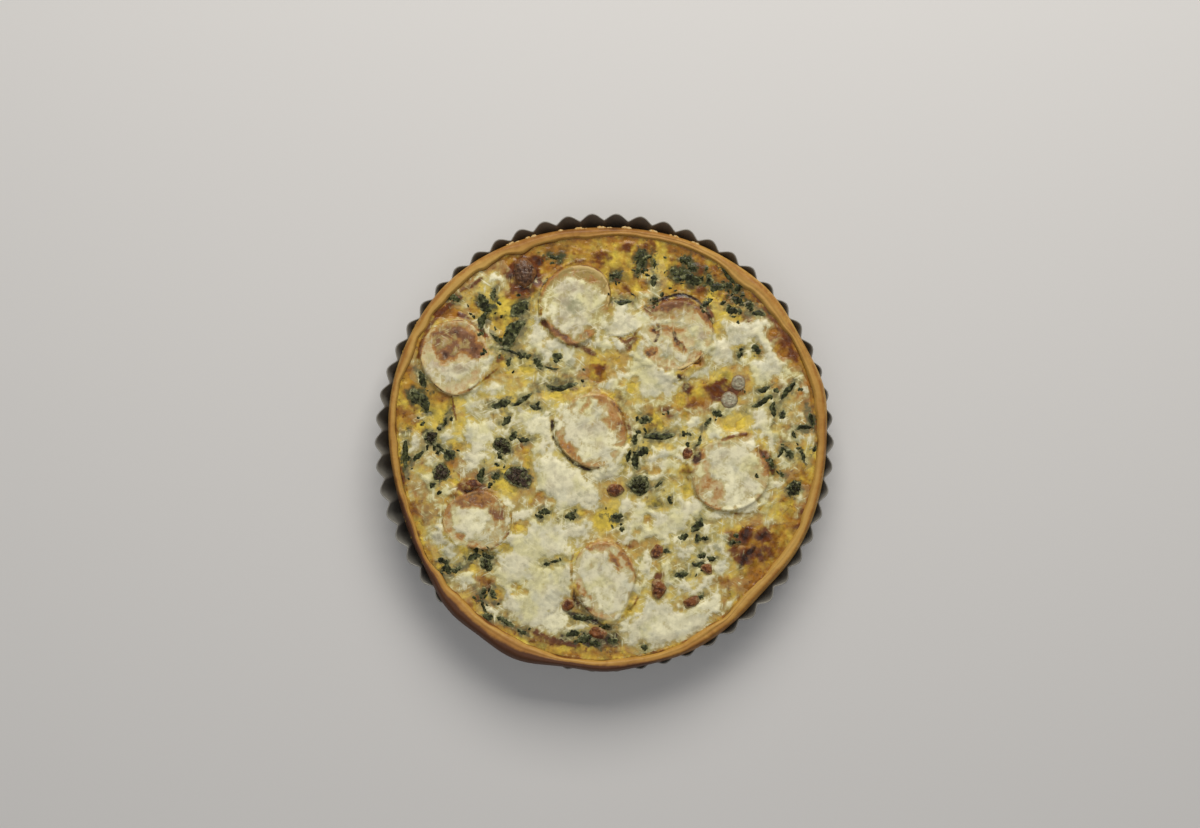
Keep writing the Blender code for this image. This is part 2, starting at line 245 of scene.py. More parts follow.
# drifts take their outline from the frame; swell is how far each flows past it, in millimetres
cheeseLayout = {
    "driftSwell": 2.6, "moreSwell": 1.4,
    "sliceSwell": (3.2, 3.0, 5.4, 3.8, 5.2, 5.4, 5.0),
    # further cheese: (x, y, half length, half width, turn)
    "more": [
        (-42, 67, 10, 6.5, 80), (-84, 86, 4.5, 3.5, 100), (-71.5, 63, 3.5, 2, 100), (10, 71, 13, 11, 0),
        (28, 92, 7, 3.2, 70), (20, 48, 12, 12, 0), (33, 38, 14, 8, 10), (92, 72, 9, 6, -30),
        (97.5, 5, 8, 8.5, 0), (95, 18, 6.5, 5, 20), (66, 5.5, 6, 3.2, 0), (54, 14, 4.2, 6.5, 90),
        (108, -12, 3.6, 4, 0), (114.5, 15, 4, 5.2, 60), (127, 1, 2.4, 4, 90), (104, -38, 5, 9, 90),
        (97, -45, 5, 8, 90), (-96, 2.5, 5, 4.2, 0), (-107, -11, 4, 3.4, 0), (-80, -69.5, 9, 3, 0),
        (-91, -28, 5, 3, 15), (-111, -23, 5, 6, 90), (-47, 14, 8, 11, 80), (-40, 27, 9, 4, -15),
        (-63, -12, 7, 4.5, -20), (-55, -12.5, 6, 2.6, 15), (-36, 40, 9, 3, 25), (-49, 39, 6, 4, 40),
        (-58, 41, 7, 3, 60), (-66, 35, 9, 4, 30), (-80, 31, 6, 4, 60), (-30, -50, 22, 10, -10),
        (-52, -52, 12, 10, 40), (-12, -33, 10, 9, 0), (60, -83, 8, 2.2, 40), (52, -84, 9, 5, 30),
        (25, -78, 5, 12, 80), (22, -100, 8, 8, 0), (35, -56, 14, 8, 0), (58, -30, 9, 6, -30),
        (12, -15, 6, 7, 60), (30, -18, 9, 5, 20), (68, -92, 8, 4, 20), (8, -118, 8, 3, -10),
        (-112, 8, 4, 3, 40), (116, -35, 4, 3, 30), (47, 60, 16, 14, 0), (76, 56, 14, 8, 20),
        (106, 42, 8, 6, -60), (-29, -110, 13, 6, 4), (-104, 43, 9, 3.4, -35), (-72, 22, 8, 5, 20),
        (-40, 10, 18, 4.4, 5), (-4, -20, 12, 6, 10), (12, -38, 3.4, 5, 0), (10, -50, 9, 3, 0),
        (-92, -66, 5, 4, 0), (12, -112, 7, 4.4, 0), (37, -110, 15, 7, 5), (65, -99, 10, 5, 20),
        (44, -64, 6, 6, 0), (87, -38, 9, 5, 10), (102, -26, 4, 3.6, 0), (38, -17, 5, 10, 0),
        (94, 30, 5, 4, 0), (105, 27, 5, 3, 0), (118, 34, 4.4, 5, 0), (38, 32, 4.4, 8, 0),
        (18, 20, 3.6, 8, 0), (4, 36, 5, 5, 0), (-20, 46, 4, 4.4, 0), (0, 60, 9, 3, -5), (60, 44, 9, 2, 25),
        (72, 22, 5, 4, 0), (118, -8, 3, 5, 0), (44, 12, 3, 7, 0), (8, 25, 4, 4, 0),
    ],
    # small dabs over the openings: (x, y, half length, half width, turn)
    "dabs": [
        (-97.5, 61, 2, 2.4, 80), (-85.5, 60, 2, 2.6, 70), (-92, 71, 4, 1.2, 10), (-103, 64, 1.4, 2.4, 90),
        (-37, 36, 3, 1, 0), (-23, 36, 2, 0.8, 0), (44, 79, 8, 1.8, 8), (33, 49, 5, 3, 0),
        (40, 74, 9, 2.4, 0), (110.5, -11, 2.2, 3.6, 80), (22, 46, 6, 4, 0), (-78, -52, 7, 5, 0),
        (62, -31, 3, 2.4, 0), (5, 2, 4, 6, 0), (-22, 17, 7, 4, 0), (-60, -37, 5, 3, 0),
        (-80, -49, 9, 6, 20), (-88, -45, 4, 7, 10), (-70, -56, 6, 4, 30), (-32, 82, 4, 8, 10),
        (-90, 56, 3, 1.6, 20), (-28, -108, 11, 5, 0), (-66, -103, 5, 3.4, 0), (-5, -93, 5, 5, 0),
        (12, -112, 6, 4, 0), (57, -100, 5, 3, 0), (62, -93, 4, 2.4, 30), (20, -88, 3, 3, 0),
        (67, -45, 12, 2.6, 0), (62, -54, 2.6, 4, 0), (36, -12, 7, 4, 0), (43, 3, 2.6, 6, 0),
        (97, -30, 3, 8, 0), (84, 55, 4, 9, 0), (38, 55, 6, 4, 0), (10, 60, 7, 4, 0), (-27, 84, 4, 7, 0),
        (3, 75, 3, 4, 0), (-14, 68, 6, 3, -30), (47, 72, 9, 1.6, 0), (-77, 20, 7, 4, 0),
        (-65, 33, 5, 2.4, 20), (-37, 10, 8, 6, 0), (-113, -25, 2, 3, 0), (16, 15, 2.6, 6, 20),
        (-68, 98, 6, 3.6, 0), (-60, 10, 8, 3.4, 0), (48, -4, 2.6, 3.4, 0), (44, 6, 3.4, 5, 0),
        (35, -56, 11, 2.4, 0), (-10, -20, 4, 3, 0), (58, -17, 3, 5, 0), (74, 0, 10, 3, 0),
        (14, -86, 3, 5, 0), (107, -12, 3.4, 4, 0), (41, -79, 2, 4, 0), (-100, -57, 7, 2, -69),
        (-94, -67, 5, 3, -35), (-10, -96, 4, 6, 20), (-26, -106, 8, 4, 5), (-69, 97, 6, 4, 0),
        (27, -55, 12, 3, 10), (42, -63, 8, 3, 30), (58, -97, 7, 3, 35), (-60, 6, 8, 4, 0),
        (-86, -86, 5, 3, 0), (95, 26, 5, 3, 0), (113, 38, 3, 4, 0), (113, 17, 4, 2, 0), (97, 5, 5, 3, 0),
        (115, 4, 4, 2, 0), (-37, 73, 3, 2.4, 0), (4, 74, 4, 4, 0), (-20, 46, 4, 3.4, 0), (-47, 53, 3, 2, 0),
        (15, -76, 2.4, 6, 0), (-28, -105, 7, 4, 0), (-28, -115, 8, 2.6, 5), (40, -100, 5, 4, 0),
        (60, -96, 7, 2.4, 35), (38, -62, 7, 3.4, 40), (-22, -13, 5, 3, 0), (-73, -9, 3, 8, 0),
        (85, -36, 6, 3, 0), (-24, -43, 4, 3, 30), (-38, -42, 2.4, 3, 0), (-70, -68, 5, 2, 0),
        (-105, 42, 5, 4, 0), (45, -77, 2.6, 2.6, 0), (57, -98, 6, 3, 0), (-68, -67, 4, 3, 0),
        (-97, -60, 2.6, 3, 0), (-82, -15, 4, 3, 0), (94, 30, 6, 2.6, 0), (62, -62, 10, 9, 0),
        (47, -66, 12, 5, 0), (68, -72, 7, 7, 20), (26, -77, 4, 8, 0), (62, -84, 11, 3, 42),
        (50, -46, 3, 5, 0), (52, -74, 8, 4, 0), (39, -83, 3, 7, 0), (-27, -70, 8, 5, 0), (8, -16, 6, 5, 0),
        (-33, 0, 3, 5, 0), (0, -8, 6, 5, 0), (-22, 45, 5, 3, 30), (96, 24, 6, 3, 40), (47, -87, 4, 3, 10),
        (-43, 3, 4, 3, 0), (75, 20, 6, 3, 0), (101, 24, 8, 2.6, 0), (-15, 24, 4, 3.4, 0), (38, 54, 7, 3, 0),
        (-11, -112, 4, 2.4, 0), (62, -46, 3, 2, 0),
    ],
    # openings in the cheese: (x, y, half length, half width, turn)
    "windows": [
        (-1, -48, 6, 6, 0), (31, 64, 2.4, 3, 0), (54, 77, 5, 2.4, -20), (24, -70, 3, 5, 0),
        (-106, -44, 3, 6, 15), (-40, 90, 2.4, 6, 0), (85, 4, 5, 1.4, 15), (-90, -22, 8, 4, 0),
        (-83, 74, 5, 5, 0), (31, 65, 2.4, 3, 0), (24, 95, 5, 4, 0), (-3, 42, 5, 5, 0), (13, 46, 5, 3, 0),
        (5, 22, 4.4, 6, 0), (46, 26, 4, 6, 0), (109, 56, 4, 7, 30), (50, -28, 3.4, 5, 0),
        (64, -46, 6, 2.4, 0), (-67, 37, 4, 2.6, 0), (-112, -32, 4, 8, 5), (-46, -12, 2.2, 5, 0),
        (-86, -90, 8, 3.4, 0), (-78, -77, 4, 2.6, 0), (-52, -88, 3.4, 2.4, 0), (39, 46, 2.4, 2.4, 0),
        (37, -73, 4, 2.4, 0), (76, -78, 6, 3, 0), (-70, -52, 3, 3, 0), (-95, -88, 5, 3, 0),
        (116, -16, 8, 6, -10), (112, -44, 7, 4, 60), (108, -53, 5, 4, 0), (120, 0, 3, 8, 0),
        (110, 6, 3, 6, 0), (119, 24, 4, 4, 0), (48, 62, 3, 2, 0), (-88, 23, 3, 4, 0), (105, -43, 3, 5, 0),
        (-39, -37, 7.5, 5.6, -20), (2, -46, 7, 9.5, 80), (-14, -43, 4.5, 2.4, 20), (27, -47.5, 2.2, 2.2, 0),
        (45, -15, 3, 7.5, 70), (79, 13, 9, 6, 0), (-76, 15.5, 4, 2.6, 0), (-60, 32, 8, 5, 10),
        (-47, 46, 5.5, 5, -50), (-12, 41, 7, 6, 0), (23, 0, 5, 2.4, 0), (14.5, 59.5, 7, 3, 40),
        (28.5, 55, 2.8, 2.2, 10), (38, 48, 1.6, 2.8, 90), (39, 66.5, 2.6, 2, 0), (33, 69, 1.8, 4, 90),
        (45, 69, 3, 1.4, -10), (45.5, 59, 4.2, 2, -50), (46, 86, 15, 5.5, 0), (62, 77, 13, 4.4, -52),
        (56, 50, 5, 3.6, 40), (-91, 62, 18, 11, -4), (-80, 58, 7, 8.5, 80), (-97, 53, 5.4, 4.4, 0),
        (-10, 107, 17, 4.4, -8), (3, 95, 3.4, 13, 0), (12, 12, 6, 10, 60), (64, -29, 7.5, 6.5, 20),
        (97, -34, 2.2, 3.2, 90), (-78, -32, 14, 6, 0), (-87.5, -57.5, 2, 2, 0), (6.5, -71, 4.5, 1.6, -60),
        (-13, -97, 3, 6, 80), (89, -62, 13, 13, 0), (70, -83, 6, 4, 0), (-72, -84, 3.4, 6, 90),
        (-28, 30, 12, 4, -10), (56, -58, 5, 4, 0), (72, 32, 12, 8, 0), (105, 35, 3, 4, 90),
        (-10, 66, 2.6, 4, 80), (-18, 34, 9, 2.4, -20), (-68, 105, 8, 2.4, 0), (98, -10, 3.4, 9, 15),
        (-95.5, -48, 2, 8, 5), (-65, -43, 3, 4.4, 20), (-78, -64.5, 10, 2.6, 0), (-3, -61.5, 11, 3, 8),
        (13.5, -71, 3, 12, 26), (18, -98, 2.8, 9, -35), (-16.5, -95, 3.4, 10, 0), (58, -12, 3, 10, 10),
        (11, 11, 4.4, 9, -25), (-58, -20, 12, 6, -10), (62, -75, 5, 4, 0), (-112, 10, 6, 4, 0),
        (-87, -16, 7, 4.4, 0), (-67, -20, 6, 3.4, 0), (-48, -3, 3, 5.4, -10), (-20, -6, 9, 1.8, -50),
        (-88, 16, 3, 8, 0), (-90, -2, 6, 3, 0), (-63, -26, 4, 3, 0), (30, -62, 6, 2, 0),
        (48, -57, 4, 2.4, 0), (57, -9, 4, 4.4, 0), (48, 45, 4, 3, 0), (-4, 42, 3, 5, 0),
        (-59, 42, 4, 2.4, 0), (-50, 36, 3, 4.4, 0), (-12, 30, 4, 7, 0), (40, 80, 14, 2.6, 0),
        (118, 32, 3, 3.4, 0), (117, 17, 2.4, 4, 0), (33, -82, 6, 2.4, 0), (10, 51, 7, 3.6, -20),
        (-4, 44, 4.4, 4.4, 0), (31, 83, 7, 4.4, 0), (80, 75, 4, 2, 0), (111, 59, 3, 5, 30),
        (-113, -50, 4, 8, 20), (-8, 101, 10, 3.4, -20), (94, -4, 3, 4, 0), (108, 37, 3.4, 4, 0),
        (106, 12, 4, 5, 0), (50, 17, 3.4, 2.6, 0), (33, 13, 4.4, 3, 0), (36, 0, 7, 2.4, 0),
        (57, -6, 4, 6, 0), (26, -16, 5, 3, 0), (32, -37, 6, 2.6, -20), (92, -46, 4.4, 2.4, 0),
        (78, -52, 6, 2.6, 0), (75, -76, 5, 4, 0), (20, -74, 3, 4.4, 0), (33, -78, 4.4, 3, 0),
        (50, -82, 7, 3.4, 0), (47, -97, 3.4, 4.4, 0), (68, -89, 5, 3, 0), (-46, -22, 3.4, 8, 5),
        (-52, -52, 5, 3.4, 0), (-62, -65, 4, 3, 0), (-79, -75, 4, 3, 0), (-66, -92, 3.4, 4, 0),
        (17, 34, 3, 4, 0), (-66, 82, 6, 8, 0), (-77, 82, 6, 8, 0), (-49, 92, 6, 3, 0), (-56, 73, 5, 6, 0),
        (-63, 62, 5, 4, 0), (-80, 94, 7, 3, 20), (-78, 69, 11, 4, -45), (-40, 92, 5, 5, 0),
        (-90, 78, 9, 4, -30), (8, 27, 9, 4, 0), (20, 3, 4, 4, 0), (112, -36, 5, 4, 0), (-120, 12, 5, 5, 0),
        (-116, -44, 4, 9, 0), (-102, -44, 1.6, 3, 0), (70, -80, 8, 4, 0), (76, -93, 5, 3, 30),
        (-18, -107, 9, 4, -8), (103, 67, 4, 4, 0),
    ],
}

# stretches of each slice's rim that the cheese runs over: (slice, first direction, last direction)
rimCover = [
    (1, -60, 0), (1, 155, 200), (5, 60, 110), (2, -55, 30), (3, 125, 345), (4, 95, 165), (4, 285, 335),
    (5, 10, 60), (5, 125, 175),
    (6, 195, 255), (6, 300, 345), (7, 160, 205), (7, 270, 320), (6, 100, 130),
]

# custard and browning: (x, y, half length, half width, turn, strength)
toneLayout = {
    "yellow": [
        (79, 13, 10, 7, 0, 1), (2, -46, 7, 11, 80, 1), (-2, -50, 6, 6, 0, 1), (-59, 80, 5, 8, 0, 1),
        (36, 109, 9, 8, 0, 1), (8, 114, 9, 8, 0, 0.7), (69, 78, 5, 9, 80, 1), (-62, 88, 10, 16, 60, 1),
        (-64, 74, 7, 9, 0, 1), (-60, 32, 10, 6, 10, 1), (-76, 15.5, 4.5, 3, 0, 1), (-63, 7, 7, 5, 0, 1),
        (45, -16, 4, 8, 75, 1), (23, 0, 6, 3, 0, 1), (93, 39, 5, 5, 0, 1), (-101, 19, 8, 9, 0, 0.6),
        (111, -57, 5, 5, 0, 0.7), (110, -43, 8, 6, 0, 0.8), (-48, 45, 6, 5, 0, 0.7),
        (8, 50, 6, 4, -40, 0.7), (-9, 37, 4, 3, 0, 0.9), (57, 95, 7, 5, 0, 0.6), (82, 80, 6, 7, 0, 0.7),
        (112, 22, 6, 10, 70, 0.6), (18, 13, 5, 6, 0, 0.8), (-15, -43, 5, 3, 0, 0.8),
        (-10, 120, 14, 3, 0, 0.6), (120, -5, 5, 14, 95, 0.5), (-83, 89, 7, 6, 0, 0.7),
        (-108, 14, 5, 5, 0, 0.5), (-86, -71, 6, 4, 0, 0.7),
    ],
    "golden": [
        (-80, -17, 12, 5, -8, 1), (-73, -88, 4, 8, 0, 0.8), (-117, 17, 5, 5, 0, 0.8),
        (45, 22, 5, 8, 0, 0.7), (62, 24, 6, 4, 0, 0.8), (-50, 103, 18, 15, 60, 1),
        (-92, 77, 13, 4.5, -32, 1), (-82.5, 96.5, 7, 3.5, 35, 0.9), (-59, 104, 6, 9, 70, 0.8),
        (-67, 73, 5, 8, 80, 0.5), (13, 106, 4, 3, 0, 0.5), (23.7, 97, 4, 5, 80, 0.9),
        (42.5, 93, 8, 3.2, 0, 0.8), (58, 90, 4, 6, 80, 0.9), (63.5, 105, 9, 4, -30, 0.9),
        (88.5, 89.5, 6, 4.5, -20, 0.9), (41.6, 111.5, 3.6, 2.6, 0, 0.9), (58.5, 22, 8, 7, 0, 0.9),
        (28, 21, 6.5, 5.5, 0, 0.8), (47.5, 27, 5, 4.5, 0, 0.8), (111, 10, 5, 7, 90, 0.8),
        (119, -15, 6, 9, 80, 0.6), (-118.5, 15.5, 6, 6, 0, 1), (-99.5, 28, 6, 4, 0, 0.9),
        (-88.8, -13, 6, 5.5, 0, 0.9), (-82, -18.5, 8, 5, 0, 1), (-90, -13, 6, 5, 0, 1),
        (-69.7, -19.7, 6, 4, 0, 1), (-48.5, -2.6, 4.5, 8, 80, 0.9), (-9, 42, 9, 7, 0, 1),
        (-38.8, -37, 6.5, 5, -20, 1), (-83, -71, 6, 3, 0, 0.4), (-72.5, -84, 4, 7, 85, 1),
        (-79, -98, 7, 9, 120, 0.9), (-80, -90, 7, 3, 0, 0.9), (-107, -40, 7, 15, 5, 0.8),
        (-112.8, -40, 4, 11, 110, 0.8), (-35, -120, 14, 3.4, -8, 1), (18, -62, 6, 4, 0, 0.8),
        (26.7, -47.5, 3, 3, 0, 0.7), (95, -62, 17, 16, 0, 1), (100, -78, 14, 12, 40, 1),
        (88, -88, 12, 9, 40, 0.9), (71, -83, 7, 4, 0, 1), (78, -54, 5, 4, 0, 0.8),
        (12, 119, 22, 4, -3, 0.7), (-30, 117, 18, 4, 12, 0.5), (66, 108, 20, 5, -32, 0.6),
        (100, 74, 8, 12, 120, 0.7), (35, 42, 6, 4, 0, 0.3), (-105, -72, 6, 10, 120, 0.6),
        (60, 45, 7, 4, 20, 0.7), (38, 48, 3, 4, 90, 0.8), (57, 50, 5, 4, 40, 1), (5, 55, 10, 5, -50, 0.6),
        (-14, 62, 8, 4, -35, 0.9), (104, -90, 8, 6, 40, 0.6), (125, 28, 4, 14, 105, 0.6),
        (-95, -92, 7, 5, 130, 0.7), (-60, -114, 12, 4, -33, 0.5), (-120, -22, 3, 14, 95, 0.5),
        (38, 67, 3.2, 2.2, 0, 0.5), (12, 12, 6, 10, 60, 0.8), (119, -48, 4, 12, 75, 0.8),
        (-8, 106, 12, 4, -10, 0.5), (18, 113, 14, 6, 0, 0.5), (-18, 117, 10, 5, 10, 0.5),
        (40, 102, 10, 5, 0, 0.6), (113, -18, 7, 7, 0, 0.8), (113, -42, 6, 5, 0, 0.6),
        (118, 20, 5, 6, 0, 0.7), (70, 86, 9, 5, -30, 0.5), (-72, 90, 7, 4, 40, 0.4),
        (-56, 72, 4, 6, 0, 0.4), (66, -30, 7, 6, 20, 0.6),
    ],
    "red": [
        (32.5, -81, 4, 3.4, 0, 0.9), (-12, -100, 7, 3, -25, 0.9), (-66, -43, 4, 4, 0, 1),
        (-95, -36, 1.6, 2.6, 0, 0.7), (-116, -37, 3, 5, 10, 0.5), (-10, 66, 2.4, 3.4, 80, 0.9),
        (-18, 34, 8, 2, -20, 0.45), (98, -10, 2.8, 8, 15, 0.8), (93, -4, 3, 4, 0, 0.7),
        (-86, -34, 9, 5, 0, 0.7), (-62, -43, 3.4, 8, 10, 0.7), (-20, -6, 9, 2.2, -50, 0.8),
        (56, -9, 5, 4.4, 0, 1), (36, 80, 13, 4.4, 0, 0.9), (-96, -45, 2, 8, 5, 0.4),
        (-78, -64, 9, 1.6, 0, 0.5), (-3, -61.5, 9, 2, 8, 0.5), (13.5, -71, 2, 10, 26, 0.55),
        (-16.5, -95, 2.6, 8, 0, 0.9), (-17, 82, 4.4, 3.4, 0, 0.6), (11, 11, 4, 8, -25, 0.7),
        (-37, -120.5, 10, 3.2, -14, 0.8), (-72, -84, 2.4, 6, 0, 0.8), (96, 63, 3, 8, 35, 0.6),
        (-84, -28, 9, 4, 0, 0.6), (44, 84, 13, 4.6, 0, 1.1), (32, 76, 4, 6, -40, 0.8),
        (60, 78, 9, 2, -52, 0.9), (7, 12, 4, 9, 60, 0.45), (-99, 63, 7, 6, 30, 1),
        (-88, 67, 10, 4.4, -15, 1.05), (-82, 60, 5.4, 8, 10, 1.05), (-91.5, 62, 3, 7, 0, 1),
        (-93, 69, 9, 3.4, -8, 0.9), (-98, 56, 5, 5, 0, 0.9), (-94, 56, 6, 5.4, 20, 1),
        (-78, 55, 4.4, 5, 0, 1), (-2, 114, 2.6, 8, 90, 1), (14.5, 118.5, 4.2, 2.6, 0, 1),
        (28.2, 120, 5, 2.6, -5, 0.9), (-17.5, 115.5, 2.6, 2, 0, 0.9), (-49, 101, 12.5, 11.5, 100, 1),
        (-40.5, 111.5, 5, 3.4, 0, 0.9), (-3, 43, 3, 5, -20, 0.8), (74, 88, 12, 3, -40, 0.6),
        (62, 92, 9, 3, -20, 0.6), (84, 76, 8, 3, -30, 0.6), (70, 104, 9, 3, -35, 0.6),
        (58, 104, 5, 3, 0, 0.5), (92, 88, 6, 4, -40, 0.7), (-106, 74, 3, 15, 130, 0.8),
        (-81, 75, 3.4, 2.6, 0, 0.7), (15.5, 92.5, 9, 1.8, -45, 0.8), (63, 78, 10, 3.2, -52, 1),
        (107.5, 62, 4.8, 17, 120, 0.7), (115, 53.5, 4, 5, 120, 0.6), (103, 76, 3, 8, 120, 0.6),
        (14.5, 60, 7.5, 3, 40, 1), (28, 55, 2.8, 2.2, 10, 1), (32.8, 69, 2, 4.4, 85, 1),
        (45, 68.5, 3, 1.6, -10, 0.7), (45.8, 58.8, 4.6, 2.2, -50, 1), (72.5, 32, 12, 7.5, 0, 1),
        (50.8, 33, 3.2, 4, 60, 1), (47, 39.3, 2, 2.4, 0, 1), (37.8, 19.5, 3.6, 5, 80, 0.8),
        (51, 23, 2, 7, 100, 0.8), (31.7, 12, 3.6, 3.6, 0, 0.6), (106.4, 34.6, 2.4, 3.6, 100, 1),
        (51, -17, 1.8, 5, 85, 0.9), (-79, -28, 10, 4.6, -8, 1), (-76, -35, 8, 3, -10, 0.9),
        (-66, -43, 4, 6, 20, 0.9), (-65, -42.8, 3.6, 5, 80, 0.9), (12.2, -60.5, 4.6, 1.6, -40, 1),
        (6.2, -71.5, 5, 1.6, -62, 1), (85.5, -56, 6, 5, 0, 1), (97, -55.5, 7, 5, 0, 1),
        (97.3, -67.2, 7, 6, 0, 1), (86, -70, 7, 5.4, 0, 1), (91, -63.5, 4, 2, 30, 0.8),
        (78, -66.5, 4, 4.4, 0, 0.9), (77, -56, 4, 3, 0, 0.7), (104, -62, 3, 5, 0, 0.7),
        (120.6, -41.5, 2.6, 4.6, 90, 0.8), (117.5, -51, 2.4, 6, 80, 0.7), (81, -92.6, 1.8, 1.8, 0, 1),
        (-13, -97, 3.4, 7, 95, 0.9), (-92, 65, 11, 3.6, 5, 0.9), (-97, 53.5, 4.4, 3.6, 20, 1),
        (-78.5, 58, 4.4, 7, 80, 0.9), (-101, 60.5, 5, 3.4, 30, 0.6), (-30, -121, 9, 2.4, -10, 0.7),
        (5, -123, 5, 2.4, 0, 0.8), (-7, 26, 12, 3, 10, 0.3), (61.5, -26, 4, 2.4, 30, 0.5),
        (56, -28, 2.4, 5, 80, 0.5), (97.3, -34, 1.8, 3, 90, 0.5), (-120, 34, 3, 6, 90, 0.4),
        (38, -76, 1.6, 5, 95, 0.4), (-87.5, -57.4, 2, 2, 0, 1), (71, -83.5, 4, 2, 10, 0.6),
        (52, 92, 3, 2, 0, 0.4), (20, 99, 2, 3, 0, 0.4), (-63, 51, 3, 3, 0, 0.7),
    ],
    "char": [
        (33, -79, 3, 2, 0, 0.5), (-14, -100, 5, 2.4, -30, 0.8), (41, 80, 7, 2, 5, 0.4),
        (-84, -30, 4, 2.4, -20, 0.5), (-97, 53, 3, 2.6, 0, 0.6), (-80, 57, 2.6, 3.4, 0, 0.5),
        (-93, 66, 6, 1.6, 0, 0.5), (-15, -97, 1.8, 4, 0, 0.7), (-48.5, 100.5, 9, 9, 0, 0.85),
        (-41, 111.5, 3.4, 2.6, 0, 0.6), (56, -9, 4, 3.6, 0, 0.9), (86, -70, 3.4, 2.8, 0, 1),
        (85.5, -57, 2.4, 2.6, 0, 0.7), (97, -55.5, 2.6, 2.2, 0, 0.6), (97.3, -67.2, 2.6, 2.6, 0, 0.5),
        (82.4, -75, 2.4, 2.4, 0, 0.8), (31.5, 68, 1.6, 4, 10, 0.8), (45.5, 59, 3, 1.4, -50, 0.8),
        (46.5, 39, 1.6, 1.8, 0, 0.8), (50.5, 33, 2, 3.4, 0, 0.8), (27.5, 55, 1.6, 1.4, 0, 0.4),
        (14.5, 60, 4, 1.4, 40, 0.5), (41, 82, 9, 1.4, 5, 0.5), (72, 33, 9, 4, 0, 0.5),
        # the first spot on the next line, at (-15, -105.5), is painted shadow under slice G's lower-left rim
        (-15, -105.5, 7, 2.6, -12, 1.1), (-8, -119.5, 9, 5, 0, 1), (4.6, -120, 6, 4.4, 0, 1),
        (-22, -118, 8, 2.6, 10, 0.9), (0, -111.5, 4.4, 2.6, 0, 1), (1.5, -111.5, 3, 3, 0, 0.9),
        (-19, -123, 8, 1.6, 0, 0.5), (-41, -117, 6, 1.4, -20, 0.6), (66, -81, 3.4, 1.6, 20, 0.5),
        (46.5, -82.6, 3.8, 2.2, 10, 0.8), (-24, -124, 3, 1.6, 0, 0.5), (72, 38.5, 9, 1.6, 5, 0.4),
        (67, 32, 3, 3, 0, 0.4), (-120.5, -6, 1.8, 9, 92, 0.5),
    ],
    # where the cheese lies thickest and palest
    "bright": [
        (-92, -80, 7, 4, 0, 0.8), (30, -18, 6, 5, 0, 0.7), (62, -33, 4, 4, 0, 0.7), (-69, 98, 6, 4, 0, 0.9),
        (-22, -14, 8, 6, 0, 0.9), (-8, -20, 8, 7, 0, 0.8), (-70, 2, 8, 5, 0, 0.8), (-50, 8, 7, 4, 0, 0.8),
        (-43, 3, 5, 4, 0, 0.8), (-74, -8, 4, 8, 0, 0.7), (-75, 22, 6, 4, 0, 0.7), (-97, 32, 6, 10, 20, 0.6),
        (47, -60, 4, 4, 0, 0.8), (51, -46, 3, 4, 0, 0.9), (60, -96, 6, 3, 35, 0.9),
        (-35, -113, 9, 4, 0, 0.7), (44, 6, 3, 5, 0, 0.8), (102, 26, 5, 5, 0, 0.6), (-78, -47, 7, 6, 0, 1),
        (-29, -110, 11, 6, 0, 1), (-2, -93, 9, 7, 0, 1), (40, -110, 13, 6, 5, 1), (-38, 10, 14, 5, 5, 1),
        (-20, 17, 9, 4, -20, 0.9), (-10, -4, 6, 12, 20, 0.8), (-4, -24, 8, 5, 70, 0.8),
        (-35, -14, 5, 8, 0, 0.8), (4, 2, 4, 6, 0, 0.9), (84, -36, 10, 6, 10, 1), (75, -22, 6, 12, 20, 0.8),
        (66, -99, 9, 4, 20, 0.9), (86, 61, 4, 5, 0, 0.4), (48, -4, 3, 4, 0, 0.8), (8, -16, 4, 4, 0, 0.8),
        (35, -55, 12, 4, 10, 0.6), (-27, -106, 6, 5, 0, 0.8), (-64, -74, 4, 3, 0, 0.9),
        (-67, -103, 5, 4, 0, 0.8), (62, -53, 3, 4, 0, 0.8), (44, -58, 6, 4, 0, 0.8),
        (50, -45, 3, 4, 0, 0.7), (-60, 8, 8, 4, 0, 0.7), (-100, 41, 8, 3, -35, 0.8),
        (-33, 80, 4, 7, 20, 0.9), (3, 73, 4, 5, 0, 0.7), (96, 24, 6, 4, 0, 0.7), (-58, -36, 5, 3, 0, 0.7),
        (-25, -62, 8, 8, 0, 0.6), (25, 88, 4, 4, 0, 0.4), (12, -112, 6, 4, 0, 0.8),
    ],
    # the grey-green tint that spinach leaves in the cheese and custard round it
    "stain": [
        (29, -37, 9, 5, 0, 0.6), (50, -58, 12, 7, 0, 0.45), (60, -66, 14, 6, 0, 0.45),
        (-30, -71, 6, 4, 0, 0.5), (47, 7, 5, 3, 0, 0.5), (-102, -44, 2.4, 6, 70, 0.6),
        (88, 56, 8, 8, 0, 0.35), (24, -72, 6, 8, 0, 0.5), (-106, -46, 5, 9, 15, 0.5),
        (75, 68, 6, 2, 0, 0.5), (45, 76, 10, 5, 0, 0.6), (50, 64, 9, 8, 0, 0.7), (34, 60, 8, 8, 0, 0.6),
        (42, 50, 9, 5, 0, 0.4), (25, 72, 6, 6, 0, 0.4), (70, 62, 8, 6, 0, 0.3), (12, 26, 6, 6, 0, 0.5),
        (-29, 118.5, 8, 4, 0, 0.5), (77, 82, 8, 6, 0, 0.4), (62, 97, 14, 7, -25, 0.4),
        (40, -88, 10, 9, 0, 0.35), (52, -76, 16, 5, 0, 0.5), (-57, -110, 12, 4, -33, 0.6),
        (12, -112, 8, 3, 0, 0.6), (-95, -76, 7, 4, 0, 0.6), (-68, -94, 5, 4, 0, 0.4),
        (-58, 0, 10, 6, -20, 0.4), (-112, 30, 8, 8, 0, 0.4), (-105, -14, 12, 10, 0, 0.35),
        (38, 5, 11, 4, 0, 0.5), (-88, 0, 6, 6, 0, 0.25), (98, 30, 10, 5, 30, 0.4), (-45, -80, 3, 3, 0, 0.4),
